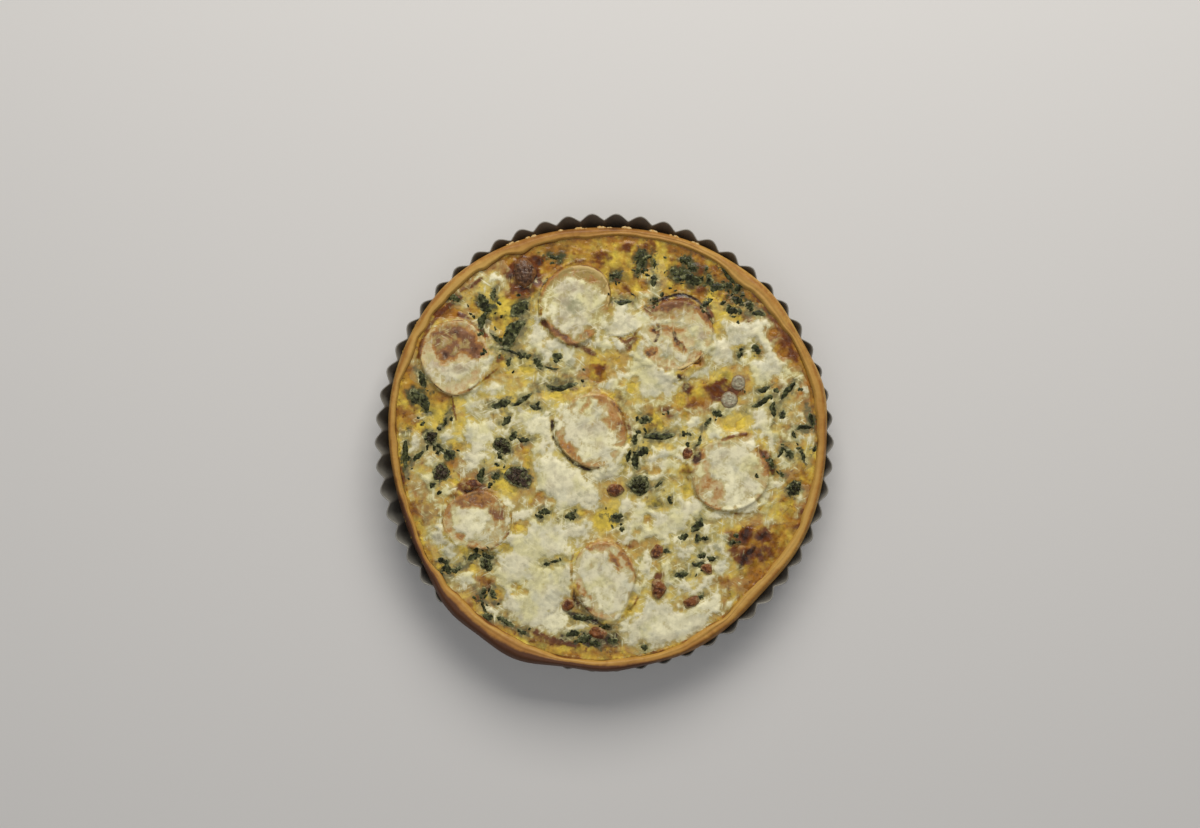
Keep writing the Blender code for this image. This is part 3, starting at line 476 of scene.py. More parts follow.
        (-17, 82, 6, 5, 0, 1), (-29, 88, 3, 6, -20, 0.5), (-20, 84, 8, 8, 0, 0.35), (-87, 47, 6, 4, 0, 0.5),
        (-33, -80, 5, 3, 0, 0.3), (-22, 36, 12, 4, 5, 0.4), (104, 18, 5, 7, 0, 0.4),
        (118, 12, 5, 6, 0, 0.3), (-78, -59.7, 10, 3.4, 0, 0.2), (-70, 22, 8, 6, 40, 0.2),
        (20, -8, 6, 9, 0, 0.4), (36, -70, 5, 4, 0, 0.4), (25, 6, 14, 7, 0, 0.5), (11, 23, 4, 9, 30, 0.4),
        (-40, 50, 10, 6, 0, 0.4), (-62, 25, 10, 6, 10, 0.4), (38, 15, 8, 5, 0, 0.3), (60, 6, 5, 8, 0, 0.35),
        (110, -2, 8, 12, 0, 0.35), (-100, -74, 9, 6, 0, 0.4),
    ],
}

# folds, curled rims and cracks, with painted shade along the slice rims that curl up over the custard:
# points, half width, depth of tone, height of the lip on the left
creaseAndRimShadeLayout = [
    # slice A's lower-left rim, here and in the char stroke two lines down: a browned fold, darkened with
    # painted shade under the lifted edge
    ("red", [(-37, 73), (-29, 67), (-20, 61), (-12, 57), (-6, 54)], 2.0, 1.0, 0.3),
    ("red", [(-38.5, 78), (-38, 90), (-33, 99), (-24, 107), (-12, 111), (0, 109)], 1.2, 0.6, 0.0),
    ("char", [(-37, 74), (-29, 68), (-20, 61.5), (-12, 57)], 1.3, 0.5, 0.0),
    # slice C's upper rim: a browned bare edge, darkened further with painted shadow in the gap beneath it
    ("char", [(30, 84), (34, 87), (40, 89), (47, 90), (54, 88), (60, 83), (66, 73)], 1.2, 1.0, 0.3),
    ("red", [(9, 64), (13, 61), (17, 64), (21, 69)], 1.0, 0.8, 0.2),
    ("red", [(72, 2), (78, 4), (86, 5.5)], 1.2, 1.0, 0.2),
    ("char", [(-39.5, 77), (-40, 85), (-38.5, 93), (-34.5, 100)], 0.7, 0.8, 0.0),
    ("char", [(32.5, 71), (33, 66), (31, 62)], 1.4, 0.75, 0.1),
    ("char", [(42.5, 66), (44.5, 61), (48, 58.5)], 1.6, 0.8, 0.1),
    ("char", [(26, 55), (28, 53), (31, 55)], 1.0, 0.6, 0.1),
    ("char", [(45, 41), (46, 38)], 1.4, 0.8, 0.1),
    ("char", [(84, -74), (86.5, -69), (91, -64)], 2.0, 0.8, 0.2),
    ("char", [(84, -57), (86, -53)], 2.0, 0.7, 0.2),
    ("char", [(94, -58), (98, -55)], 1.8, 0.7, 0.2),
    ("char", [(93, -69), (97, -66)], 1.8, 0.7, 0.2),
    ("char", [(95, -5), (99, -11), (101.5, -17)], 0.9, 0.6, 0.0),
    ("char", [(5, 25), (10, 19.5), (14.5, 12)], 0.7, 0.6, 0.0),
    # slice D's lower-left rim: painted shadow under the lifted edge
    ("char", [(-31.6, 13), (-30.6, 3), (-24.6, -6.5), (-16.2, -13.6), (-8, -17)], 1.4, 1.0, 0.0),
    ("red", [(4, 25), (9, 20), (14, 12), (16.5, 3)], 1.1, 0.8, 0.2),
    ("red", [(92.5, -3), (96, -7.5), (99.5, -12), (102, -18)], 1.5, 0.9, 0.4),
    ("red", [(61, -36), (67, -39.5), (75, -42), (84, -43.5), (92, -42), (97, -38)], 0.6, 0.6, 0.4),
    # slice E's left rim: painted shadow beside the edge
    ("red", [(50, -13), (50.5, -20), (53, -29), (57, -34)], 0.8, 0.6, 0.2),
    ("red", [(-97, -32), (-98.5, -42), (-96.5, -54), (-90, -62), (-80, -66.5), (-70, -66)], 0.6, 0.5, 0.4),
    ("red", [(-70, -66), (-62, -60), (-57, -51), (-57, -43), (-62, -36)], 0.8, 0.6, 0.4),
    ("red", [(-5, -58), (-13, -60.5), (-18, -66), (-20, -75), (-19.5, -85)], 0.8, 0.6, 0.4),
    ("char", [(-18.5, -87), (-18, -94), (-16, -101)], 0.9, 0.8, 0.6),
    # slice G's lower-left rim: painted shadow under the lifted edge
    ("char", [(-23, -103), (-15, -106), (-6, -109), (2, -112)], 1.8, 1.0, 0.0),
    ("red", [(-42, -115), (-34, -119), (-25, -121.5), (-16, -123)], 2.0, 1.0, 0.3),
    ("red", [(7.5, -60), (13, -68), (17, -77), (22, -86)], 1.0, 0.7, 0.7),
    ("red", [(21, -93), (17.5, -99), (11, -106)], 0.9, 0.6, 0.3),
    ("red", [(58.5, 56), (57.5, 51), (54, 47), (49, 44)], 0.6, 0.6, 0.5),
    ("red", [(-92.5, 28), (-91.5, 22), (-90, 14)], 0.7, 0.9, 0.4),
    ("red", [(-88, 30), (-80, 33), (-72, 39), (-65, 45)], 0.7, 0.6, 0.5),
    ("red", [(-88, 78), (-83.5, 76), (-78.5, 72), (-73, 66.5), (-69.5, 61)], 1.6, 1.0, 0.2),
    ("red", [(-113, 52), (-109, 66), (-101.5, 77), (-94, 84), (-87.5, 88.5)], 1.5, 1.0, 0.0),
    ("red", [(-91, 90), (-86, 93.5), (-81, 95.5), (-75, 100)], 1.4, 1.0, 0.0),
    ("red", [(96, 84), (104, 73), (111, 62), (117, 50)], 1.6, 0.8, 0.0),
    ("stain", [(-5, 67), (4, 64.5), (12, 65), (20, 67.5)], 0.3, 0.4, 0.3),
    ("stain", [(-90, 9), (-86, 4), (-84, -4)], 0.6, 0.5, 0.2),
    ("stain", [(-72, 27), (-68, 20), (-67, 13)], 0.6, 0.6, 0.2),
]

# spinach: (x, y, length, width, turn)
leafLayout = [
    (-72.4, 85, 13, 6.5, 125), (-67, 90.3, 8, 3.6, 80), (-73.5, 74.3, 12, 4.6, 70),
    (-67.5, 64, 8, 1.6, -50), (-51.4, 81.5, 14, 7, 42), (-54.6, 65.2, 22, 8.6, 55),
    (-57, 55.2, 15, 1.8, -12), (-51.4, 53, 5, 3.6, -60), (-91.4, 87.3, 8, 4, -8),
    (-40.3, 48.4, 9, 4.4, -62), (-28.1, 51.4, 7, 5, 60), (-32, 45.7, 9, 1.6, -6), (-57.9, 49.1, 6, 3, 75),
    (-30.5, 112.8, 8, 2.4, -5), (22.1, 111.7, 11, 6.4, 85), (20.2, 105.6, 6, 3, 80), (30, 109, 7, 1.8, 95),
    (30.1, 98.7, 8, 4.6, 85), (6.9, 101.4, 6, 4.2, 20), (11.4, 86, 11, 3.4, 0), (30, 86.5, 6, 4, 30),
    (48.8, 111.3, 7, 4, -12), (45.8, 103.7, 9, 4.4, 5), (53.4, 107, 8, 4, -50), (45, 100, 7, 3, 0),
    (53.4, 99.5, 13, 6.4, -15), (64.9, 98, 10, 4.4, -60), (68.7, 94, 9, 5, 20), (73.2, 104.8, 7, 2.6, -50),
    (76.3, 101, 11, 3, -56), (75.9, 95.7, 5, 4, 0), (82.4, 94, 9, 4.6, 50), (80.9, 86.5, 8, 4.2, -20),
    (61.8, 84.2, 5, 3.6, 30), (77.8, 81.2, 8, 5, -30), (88.5, 82.7, 6, 5, -50), (93.9, 78.1, 9, 3, -8),
    (92.3, 56.8, 7, 4.6, -60), (82.4, 53.7, 5, 3.4, 60), (24.1, 14.1, 7, 5, 40), (33.5, 4.4, 20, 4.4, 5),
    (19.3, -11, 11, 4.4, 95), (23.3, -5, 8, 5.4, 20), (15, -8, 8, 2.8, 75), (33.2, -25.5, 7, 2, 40),
    (50.8, 5, 5, 2, -10), (63, 12.6, 7, 2.8, 52), (68.3, 18.3, 6, 4, 0), (56.9, 1.2, 8, 2, 62),
    (95.8, 25.6, 15, 3.6, 31), (111.8, 31.7, 14, 3.6, 52), (103.4, 20.2, 10, 3.6, 88),
    (108, 17.2, 6, 3.4, 60), (126, 14, 10, 3, -76), (121.5, 9, 10, 3, 6), (115.6, 5, 5, 2, -60),
    (112.6, -6.5, 7, 4.6, -50), (107.2, -5.5, 8, 2, 62), (120.2, -8, 8, 2.6, -66), (128.3, -3.4, 5, 3, 60),
    (101.8, -12.6, 7, 3.2, -80), (92.7, -19.8, 3.4, 2, -60), (40, -34.7, 6, 3, -70),
    (-115.5, 28.3, 10, 6.6, -70), (-109.6, 24, 13, 4.6, -72), (-110.5, 38.6, 11, 4, -68),
    (-97.2, 12.6, 7, 2, 65), (-100, -3, 8, 3, -50), (-94.1, -7.2, 8, 7, 30), (-120.8, -6.5, 18, 3.6, 88),
    (-113.2, -8, 10, 3, 46), (-74.3, -20.2, 11, 4.4, 82), (-66, -20.2, 6, 4, 20),
    (-62.9, 23.7, 13, 4.8, 14), (-50, 26.3, 15, 3, 30), (-42, 22, 8, 3, -20), (-59.5, 13.4, 8, 4, 45),
    (19, 2, 7, 3.4, 75), (-55.2, 4.2, 7, 4.4, 60), (-49.1, 2.3, 8, 3, -10), (-63, -8, 6, 2.6, -50),
    (-25.5, 35.6, 20, 3.8, 4), (-96.8, -72.6, 5, 3.4, -20), (-90, -76.5, 8, 3, 15), (-95.4, -77, 7, 4, -60),
    (-73.2, -99.4, 9, 2, -65), (-70.8, -105.5, 7, 4, -10), (-19.6, -45.3, 5, 3.2, 0), (-35, -73.4, 4, 3, 0),
    (-30, -72, 6, 1.8, 10), (7.6, -44.9, 8, 4, 0), (10.7, -52.5, 3.4, 3, 0), (56.1, -49.8, 11, 4.6, 52),
    (56.5, -58.2, 5, 4, 60), (61, -58.6, 5, 2, 0), (78.2, -60.5, 4, 3, 0), (65, -69.7, 6, 3, -10),
    (57, -73.3, 8, 3, 0), (24.4, -124.6, 4.6, 4, 0), (-58, -109.5, 9, 3, -35), (-50, -114.5, 7, 3, -25),
    (-38.5, -45, 4, 2.4, 0), (-12, -119.5, 10, 5, 20), (-5.5, -122, 8, 4, -15), (-19, -116.5, 9, 4, 10),
    (-15.5, -106, 9, 4, -8), (-10, -107.5, 8, 3, 5), (1, -112, 6, 3, 5), (5, -120, 7, 4, 0),
    (-62, -108, 8, 3.4, -30), (-67, -92, 7, 3, -60), (-73.5, -90, 5, 3, 70), (-79, -70, 9, 4, 20),
    (-70.5, -68.5, 8, 4, -20), (-100, -80, 6, 3, -50), (48, -57, 7, 3.6, 10), (59, -68, 6, 3.6, 20),
    (97, 33, 8, 3, 20), (47, -80, 9, 4, 10), (57, -93.5, 8, 3, 30), (37, -66, 6, 3, 0),
    (-21, -44, 7, 3, 30), (-36, -42, 7, 4, 0), (108, -19.4, 4, 2.4, -50), (-104, -26, 5, 3, 40),
]


def strengthOf(x, y, tone):
    return spots(x, y, toneLayout[tone], 2.4)


# where a slice's rim is nipped in: (slice, direction, half spread, millimetres)
rimNips = [
    (4, 222, 42, 2.8), (4, 20, 22, 1.4), (2, 40, 26, 2.2), (1, 200, 30, 0.8), (7, 330, 24, 1.2),
    (6, 30, 26, 1),
]
sliceShapes = []
for number, nodeName in enumerate(familyOf["slice"]):
    sliceCentre = centreOf(nodeName)
    rim = nodeOutline(nodeName, sliceCentre, 180, 7)
    rimDirection = np.arange(180) * 2.0
    for sliceNumber, direction, spread, inward in rimNips:
        if sliceNumber == number + 1:
            rim -= inward * np.exp(-(turnFrom(rimDirection, direction) / spread) ** 2)
    rim -= 0.35 + 0.35 * ringNoise(rimDirection, 13, 200 + number)
    sliceShapes.append((sliceCentre, rim))
toppingShapes = [(centreOf(n), nodeOutline(n, centreOf(n), 120, 12)) for n in familyOf["topping"]]
driftShapes = [(centreOf(n), nodeOutline(n, centreOf(n), 120, 14)) for n in familyOf["drift"]]
clumpShapes = [(centreOf(n), nodeOutline(n, centreOf(n), 72, 10)) for n in familyOf["spinach"]]

sliceForm = {"lift": 0.35, "thickness": 2.8, "dish": 0.4, "edge": 0.06, "rim": 0.10}


def outlineDepth(x, y, shape):
    # how far inside a star-shaped outline a point lies, in millimetres, negative outside
    centre, radius = shape
    dx, dy = x - centre[0], y - centre[1]
    return around(radius, np.degrees(np.arctan2(dy, dx))) - np.hypot(dx, dy)


def custardHeight(x, y):
    # the low dome of the filling with the slow swell of a baked surface
    share = np.clip(np.hypot(x, y) / (fillingOutline.mean() + 0.6), 0, 1)
    dome = fillingEdge + (fillingTop + 0.25 - fillingEdge) * (1 - share ** 2)
    return dome + 0.28 * noise(x, y, 17, 5) + 0.13 * noise(x, y, 6, 6)


def sliceHeight(x, y):
    # height of a slice above the custard: a dish inside a rounded rim, and zero outside
    height = np.zeros_like(x)
    for centre, radius in sliceShapes:
        dx, dy = x - centre[0], y - centre[1]
        reach = around(radius, np.degrees(np.arctan2(dy, dx)))
        share = np.hypot(dx, dy) / reach
        height = np.maximum(height, sliceProfile(share))
    return height


def sliceProfile(share):
    inner = sliceForm["thickness"] - sliceForm["dish"]
    rise = sliceForm["dish"] * smooth(1 - sliceForm["rim"] - 0.05, 1 - sliceForm["edge"], share)
    drop = np.sqrt(np.clip(1 - ((share - (1 - sliceForm["edge"])) / sliceForm["edge"]).clip(0, 1) ** 2, 0, 1))
    return np.where(share < 1, (inner + rise) * drop + sliceForm["lift"] * (share < 1), 0.0)


def surface(x, y):
    # every field of the top at the given points: heights, tones and how deep in cheese a point is
    wx = x + 1.3 * noise(x, y, 7, 31) + 0.9 * noise(x, y, 2.6, 32)
    wy = y + 1.3 * noise(x, y, 7, 33) + 0.9 * noise(x, y, 2.6, 34)
    cheese, ramp = np.full_like(x, -30.0), np.zeros_like(x)
    for shape in driftShapes:
        cheese = np.maximum(cheese, outlineDepth(wx, wy, shape) + cheeseLayout["driftSwell"])
    for row in cheeseLayout["more"]:
        cheese = np.maximum(cheese, ovalDepth(wx, wy, row) + cheeseLayout["moreSwell"])
    for shape, swell in zip(toppingShapes, cheeseLayout["sliceSwell"]):
        cheese = np.maximum(cheese, outlineDepth(wx, wy, shape) + swell)
    for number, first, last in rimCover:
        centre, radius = sliceShapes[number - 1]
        direction = np.degrees(np.arctan2(wy - centre[1], wx - centre[0]))
        away = turnFrom(direction, (first + last) / 2) - (last - first) / 2
        inside = outlineDepth(wx, wy, sliceShapes[number - 1])
        bridge = 3.4 - np.abs(inside) * 0.7 - 0.25 * np.maximum(away, 0)
        cheese = np.maximum(cheese, bridge)
        slope = 2.7 * np.exp(-(np.minimum(inside, 0) / 5.5) ** 2) * (1 - smooth(-4, 12, away))
        ramp = np.maximum(ramp, slope * (inside < 1.5))
    cheese = np.minimum(cheese, 8.0)
    for row in cheeseLayout["windows"]:
        cheese = np.minimum(cheese, -2.0 - ovalDepth(wx, wy, row) * 2.2)
    for row in cheeseLayout["dabs"]:
        cheese = np.maximum(cheese, ovalDepth(wx, wy, row) + 1.0)
    leaves = np.full_like(x, -30.0)
    for row in leafLayout:
        near = np.abs(x - row[0]) + np.abs(y - row[1]) < 22
        oval = (row[0], row[1], row[2] / 2, row[3] / 2, row[4])
        leaves[near] = np.maximum(leaves[near], ovalDepth(wx[near], wy[near], oval))
    for shape in clumpShapes:
        leaves = np.maximum(leaves, outlineDepth(x, y, shape) - 0.8)
    cheese = np.minimum(cheese, -1.0 - leaves * 1.2)
    cheese += 1.4 * noise(x, y, 9, 41) + 0.9 * noise(x, y, 4, 42) + 0.3 * noise(x, y, 1.9, 43) - 0.2
    radius = np.hypot(x, y)
    fields = {tone: strengthOf(wx, wy, tone) for tone in toneLayout}
    northward = 0.35 * smooth(-0.2, 0.9, (0.5 * x + y) / 130)
    browning = 0.15 + 0.45 * smooth(98, 124, radius) + northward + 0.22 * noise(x, y, 13, 45)
    # a broken toasted edge where the cheese stops
    toasted = np.exp(-((cheese + 3.6 + 2.5 * noise(x, y, 4, 47)) / 1.5) ** 2)
    browning += 0.14 * toasted * smooth(-0.6, 0.6, noise(x, y, 6, 48))
    fields["golden"] = np.maximum(fields["golden"], browning - 0.6 * fields["yellow"])
    fields["stain"] = np.maximum(fields["stain"], 0.9 * smooth(-5.4, 1.0, leaves + 1.2 * noise(x, y, 4, 46)))
    fields["leaves"] = leaves
    lip = np.zeros_like(x)
    for tone, points, halfWidth, strength, height in creaseAndRimShadeLayout:
        distance, side = strokeDistance(x, y, points, 4.0)
        # each stroke paints its tone into the top; along curled slice rims this tone is painted shade under
        # the lifted edge
        mark = strength * (1 - smooth(halfWidth * 0.4, halfWidth * 1.5, distance))
        fields[tone] = np.maximum(fields[tone], mark)
        cheese = np.minimum(cheese, np.where(distance < halfWidth, (distance - halfWidth) * 1.5, 30))
        along = np.exp(-((distance * side - halfWidth - 0.8) / 0.9) ** 2)
        lip = np.maximum(lip, height * along * (distance < 3.9))
    fields["cheese"], fields["ramp"] = cheese, ramp
    fields["lip"] = lip
    relief = 0.20 * fractal(x, y, 2.6, 61) * (1 - fields["char"])
    relief += 0.3 * fields["golden"] * noise(x, y, 4, 63)
    relief += 0.5 * fields["red"] - 0.2 * fields["char"] + 0.3 * np.abs(noise(x, y, 3.4, 64)) * fields["red"]
    fields["custard"], fields["relief"] = custardHeight(x, y) + relief, relief
    return fields


# meshes

def makeMesh(name, points, faces, material, attributes=None):
    # writes arrays of millimetre points and faces into one mesh object
    data = bpy.data.meshes.new(name)
    places = (np.asarray(points, float) * mm).tolist()
    data.from_pydata([tuple(p) for p in places], [], [tuple(f) for f in faces])
    for label, values in (attributes or {}).items():
        layer = data.attributes.new(label, "FLOAT", "POINT")
        layer.data.foreach_set("value", np.asarray(values, np.float32).ravel())
    data.polygons.foreach_set("use_smooth", np.full(len(data.polygons), True))
    data.materials.append(material)
    data.update()
    piece = bpy.data.objects.new(name, data)
    bpy.context.scene.collection.objects.link(piece)
    return piece


def seat(piece, slotName, *nodes):
    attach(piece, "root")
    if nodes:
        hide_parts(*nodes)
    print("quiche:", piece.name, len(piece.data.polygons), "faces")


def gridFaces(rows, columns, closed=False, start=0):
    # quads between neighbouring rows of a grid, wrapped round when its columns close on themselves
    wide = columns if closed else columns - 1
    r, c = np.meshgrid(np.arange(rows - 1), np.arange(wide), indexing="ij")
    a = r * columns + c
    b = r * columns + (c + 1) % columns
    return np.stack([a, b, b + columns, a + columns], -1).reshape(-1, 4) + start


def fanFaces(ring, centre, flip=False):
    after = np.roll(ring, -1)
    faces = np.stack([np.full_like(ring, centre), ring, after], 1)
    return faces[:, ::-1] if flip else faces


def shellFaces(rows, columns, flip=False, start=0):
    # closed rings one after another, and a pole point for the first and for the last of them
    grid, ring = gridFaces(rows, columns, True, start), np.arange(columns) + start
    pole = start + rows * columns
    faces = (grid if flip else grid[:, ::-1]).tolist() + fanFaces(ring, pole, flip).tolist()
    return faces + fanFaces(ring + (rows - 1) * columns, pole + 1, not flip).tolist()


def gridRim(grid):
    # the numbers along the border of a grid, once round
    return np.concatenate([grid[:-1, 0], grid[-1, :-1], grid[:0:-1, -1], grid[0, :0:-1]])


def stacked(*values):
    # points from their coordinates
    return np.stack([np.ravel(v) for v in np.broadcast_arrays(*values)], 1)


# shading: small helpers, then masks shared by several materials

def feed(tree, socket, value):
    if isinstance(value, bpy.types.NodeSocket):
        tree.links.new(value, socket)
    elif isinstance(value, tuple):
        socket.default_value = value + (1.0,) if len(value) == 3 else value
    else:
        socket.default_value = value


def calc(tree, operation, a, b=0.0):
    node = tree.nodes.new("ShaderNodeMath")
    node.operation = operation
    feed(tree, node.inputs[0], a)
    feed(tree, node.inputs[1], b)
    return node.outputs[0]


def add(tree, a, b):
    return calc(tree, "ADD", a, b)


def times(tree, a, b):
    return calc(tree, "MULTIPLY", a, b)


def blendColour(tree, factor, a, b, mode="MIX"):
    node = tree.nodes.new("ShaderNodeMix")
    node.data_type, node.blend_type = "RGBA", mode
    feed(tree, node.inputs[0], factor)
    feed(tree, node.inputs[6], a)
    feed(tree, node.inputs[7], b)
    return node.outputs[2]


def stepBetween(tree, value, low, high, toLow=0.0, toHigh=1.0):
    node = tree.nodes.new("ShaderNodeMapRange")
    node.interpolation_type = "SMOOTHSTEP"
    for socket, given in zip(node.inputs[:5], (value, low, high, toLow, toHigh)):
        feed(tree, socket, given)
    return node.outputs[0]


def painted(tree, name):
    node = tree.nodes.new("ShaderNodeAttribute")
    node.attribute_name = name
    return node.outputs["Fac"]


def noiseTexture(tree, size, detail, stretch=(1, 1, 1), turn=0.0, shift=0.0, kind="POINT"):
    texture = tree.nodes.new("ShaderNodeTexNoise")
    mapping = tree.nodes.new("ShaderNodeMapping")
    mapping.vector_type = kind
    mapping.inputs["Rotation"].default_value = (0, 0, math.radians(turn))
    mapping.inputs["Scale"].default_value = stretch
    mapping.inputs["Location"].default_value = (shift, shift, 0)
    tree.links.new(tree.nodes.new("ShaderNodeTexCoord").outputs["Object"], mapping.inputs["Vector"])
    tree.links.new(mapping.outputs[0], texture.inputs["Vector"])
    texture.inputs["Scale"].default_value = 1 / (size * mm)
    texture.inputs["Detail"].default_value = detail
    return texture


def grain(tree, size, detail=2.0, roughness=0.5, shift=0.0):
    # noise whose features are about size millimetres across, from 0 to 1
    texture = noiseTexture(tree, size, detail, shift=shift)
    texture.inputs["Roughness"].default_value = roughness
    return texture.outputs["Fac"]


def threads(tree, size, long, turn):
    # noise drawn out along one direction
    texture = noiseTexture(tree, size, 1.5, (long, 1, 1), turn, kind="TEXTURE")
    texture.inputs["Distortion"].default_value = 0.3
    return texture.outputs["Fac"]


def swing(tree, value, middle, gain):
    # how far a value is from a middle, times a gain
    return times(tree, calc(tree, "SUBTRACT", value, middle), gain)


def layer(tree, under, value, steps, over):
    # lays a colour over another where a value lies past the first step and fully past the second
    low, high, strength = steps if len(steps) == 3 else (*steps, 1)
    return blendColour(tree, stepBetween(tree, value, low, high, 0, strength), under, over)


def finish(tree, shader, colour, gloss):
    # joins up the base colour; gloss is (roughness, specular level)
    tree.links.new(colour, shader.inputs["Base Color"])
    feed(tree, shader.inputs["Roughness"], gloss[0])
    shader.inputs["Specular IOR Level"].default_value = gloss[1]


def newGroup(name, outputs):
    group = bpy.data.node_groups.new(name, "ShaderNodeTree")
    for label, kind in outputs:
        group.interface.new_socket(label, in_out="OUTPUT", socket_type=kind)
    return group, group.nodes.new("NodeGroupOutput")


def useGroup(tree, group):
    node = tree.nodes.new("ShaderNodeGroup")
    node.node_tree = group
    return node


def newMaterial(name):
    material = bpy.data.materials.new(name)
    material.use_nodes = True
    tree = material.node_tree
    return material, tree, tree.nodes["Principled BSDF"]


def bumpOf(tree, shader, height, strength, distance):
    node = tree.nodes.new("ShaderNodeBump")
    node.inputs["Strength"].default_value = strength
    node.inputs["Distance"].default_value = distance * mm
    tree.links.new(height, node.inputs["Height"])
    tree.links.new(node.outputs[0], shader.inputs["Normal"])


custardLook = {
    "plain": (0.43, 0.245, 0.026), "pale": (0.60, 0.455, 0.09), "yellow": (0.64, 0.465, 0.055),
    "olive": (0.26, 0.205, 0.040), "golden": (0.31, 0.125, 0.011), "red": (0.125, 0.034, 0.006),
    "char": (0.025, 0.010, 0.005),
    "stain": (0.055, 0.058, 0.018),
}
# each painted tone: its weight, how ragged it is, and where it starts and is full
toneSpread = (
    ("yellow", 0.75, 1.2, 0.20, 0.95), ("golden", 0.80, 1.6, 0.10, 0.95), ("stain", 0.85, 1.5, 0.25, 1.0),
    ("red", 0.98, 1.5, 0.20, 0.98), ("char", 1.0, 1.3, 0.30, 1.0),
)


def bakedColourGroup():
    # custard colour from the painted tones, each broken up by its own grain
    group, result = newGroup("bakedColour", [("Colour", "NodeSocketColor"), ("Roasted", "NodeSocketFloat")])
    coarse, middle = grain(group, 14, 3, 0.5), grain(group, 7.5, 3, 0.5, shift=0.7)
    fine, small = grain(group, 3.4, 3, 0.5, shift=0.31), grain(group, 3.0, 3, 0.6, shift=0.13)
    colour = layer(group, custardLook["plain"], coarse, (0.42, 0.58), custardLook["yellow"])
    green = add(group, grain(group, 9, 3, 0.55, shift=0.9), times(group, painted(group, "stain"), 0.12))
    colour = layer(group, colour, green, (0.50, 0.70, 0.8), custardLook["olive"])
    pale = grain(group, 5, 3, 0.55, shift=0.55)
    colour = layer(group, colour, pale, (0.52, 0.72, 0.5), custardLook["pale"])
    ragged = add(group, swing(group, middle, 0.5, 1.1), swing(group, fine, 0.5, 0.4))
    for tone, weight, spread, low, high in toneSpread:
        amount = times(group, painted(group, tone), weight)
        amount = add(group, amount, times(group, ragged, spread))
        colour = layer(group, colour, amount, (low, high), custardLook[tone])
    # small browned specks where it is golden, torn green flecks near the leaves
    speck = stepBetween(group, small, 0.58, 0.72, 0, 0.8)
    speck = times(group, speck, stepBetween(group, painted(group, "golden"), 0.1, 0.6, 0.15, 1.0))
    colour = blendColour(group, speck, colour, custardLook["red"])
    fleck = swing(group, grain(group, 2.2, 3, 0.6, shift=0.53), 0.5, 2.8)
    fleck = add(group, fleck, times(group, painted(group, "stain"), 0.8))
    colour = layer(group, colour, fleck, (0.55, 1.0, 0.9), custardLook["stain"])
    toneScale = stepBetween(group, grain(group, 4.0, 3, 0.55, shift=0.83), 0.36, 0.66, 0.80, 1.14)
    colour = blendColour(group, 1.0, colour, toneScale, "MULTIPLY")
    roasted = calc(group, "MAXIMUM", painted(group, "red"), painted(group, "char"))
    group.links.new(colour, result.inputs["Colour"])
    group.links.new(roasted, result.inputs["Roasted"])
    return group


bakedColour = bakedColourGroup()

cheeseLook = {
    "cream": (0.69, 0.63, 0.41), "warm": (0.66, 0.60, 0.31), "grey": (0.58, 0.55, 0.38),
    "clear": (0.27, 0.26, 0.125), "toast": (0.32, 0.140, 0.036), "lilac": (0.45, 0.37, 0.235),
    "bright": (0.82, 0.755, 0.48), "film": (0.48, 0.42, 0.13),
}


def custardMaterial():
    material, tree, shader = newMaterial("custard")
    baked = useGroup(tree, bakedColour)
    roughness = stepBetween(tree, baked.outputs["Roasted"], 0.2, 0.9, 0.30, 0.22)
    finish(tree, shader, baked.outputs["Colour"], (roughness, 0.28))
    bumpOf(tree, shader, grain(tree, 3.6, 3, 0.55), 0.5, 1.0)
    return material


sliceColours = {
    "cream": (0.60, 0.50, 0.26), "warm": (0.44, 0.23, 0.075), "glassy": (0.33, 0.225, 0.065),
    "rind": (0.58, 0.42, 0.16), "brown": (0.20, 0.085, 0.034), "char": (0.05, 0.018, 0.008),
    "bloom": (0.50, 0.38, 0.26), "amber": (0.40, 0.185, 0.042),
}

# each painted tone of a slice: where it starts and is full, and the colour it takes
sliceTones = (("red", 0.05, 0.45, "amber"), ("red", 0.35, 1.05, "brown"), ("char", 0.2, 0.9, "char"))


def sliceColourGroup():
    # a slice's own colour, without its rind: cream to toasted, glassy, and browned spots
    group, result = newGroup("sliceColour", [("Colour", "NodeSocketColor")])
    fine, broad = grain(group, 2.6, 4, 0.65), grain(group, 6, 3, 0.6, shift=0.4)
    warm = add(group, painted(group, "warm"), swing(group, broad, 0.5, 2.5))
    colour = layer(group, sliceColours["cream"], warm, (0.1, 0.9), sliceColours["warm"])
    colour = blendColour(group, painted(group, "glassy"), colour, sliceColours["glassy"])
    coarse = grain(group, 5, 3, 0.6, shift=0.9)
    rough = add(group, swing(group, fine, 0.5, 1.0), swing(group, coarse, 0.5, 1.8))
    for tone, low, high, target in sliceTones:
        amount = add(group, painted(group, tone), rough)
        colour = layer(group, colour, amount, (low, high), sliceColours[target])
    colour = layer(group, colour, fine, (0.56, 0.72, 0.5), sliceColours["bloom"])
    group.links.new(colour, result.inputs["Colour"])
    return group


sliceColour = sliceColourGroup()


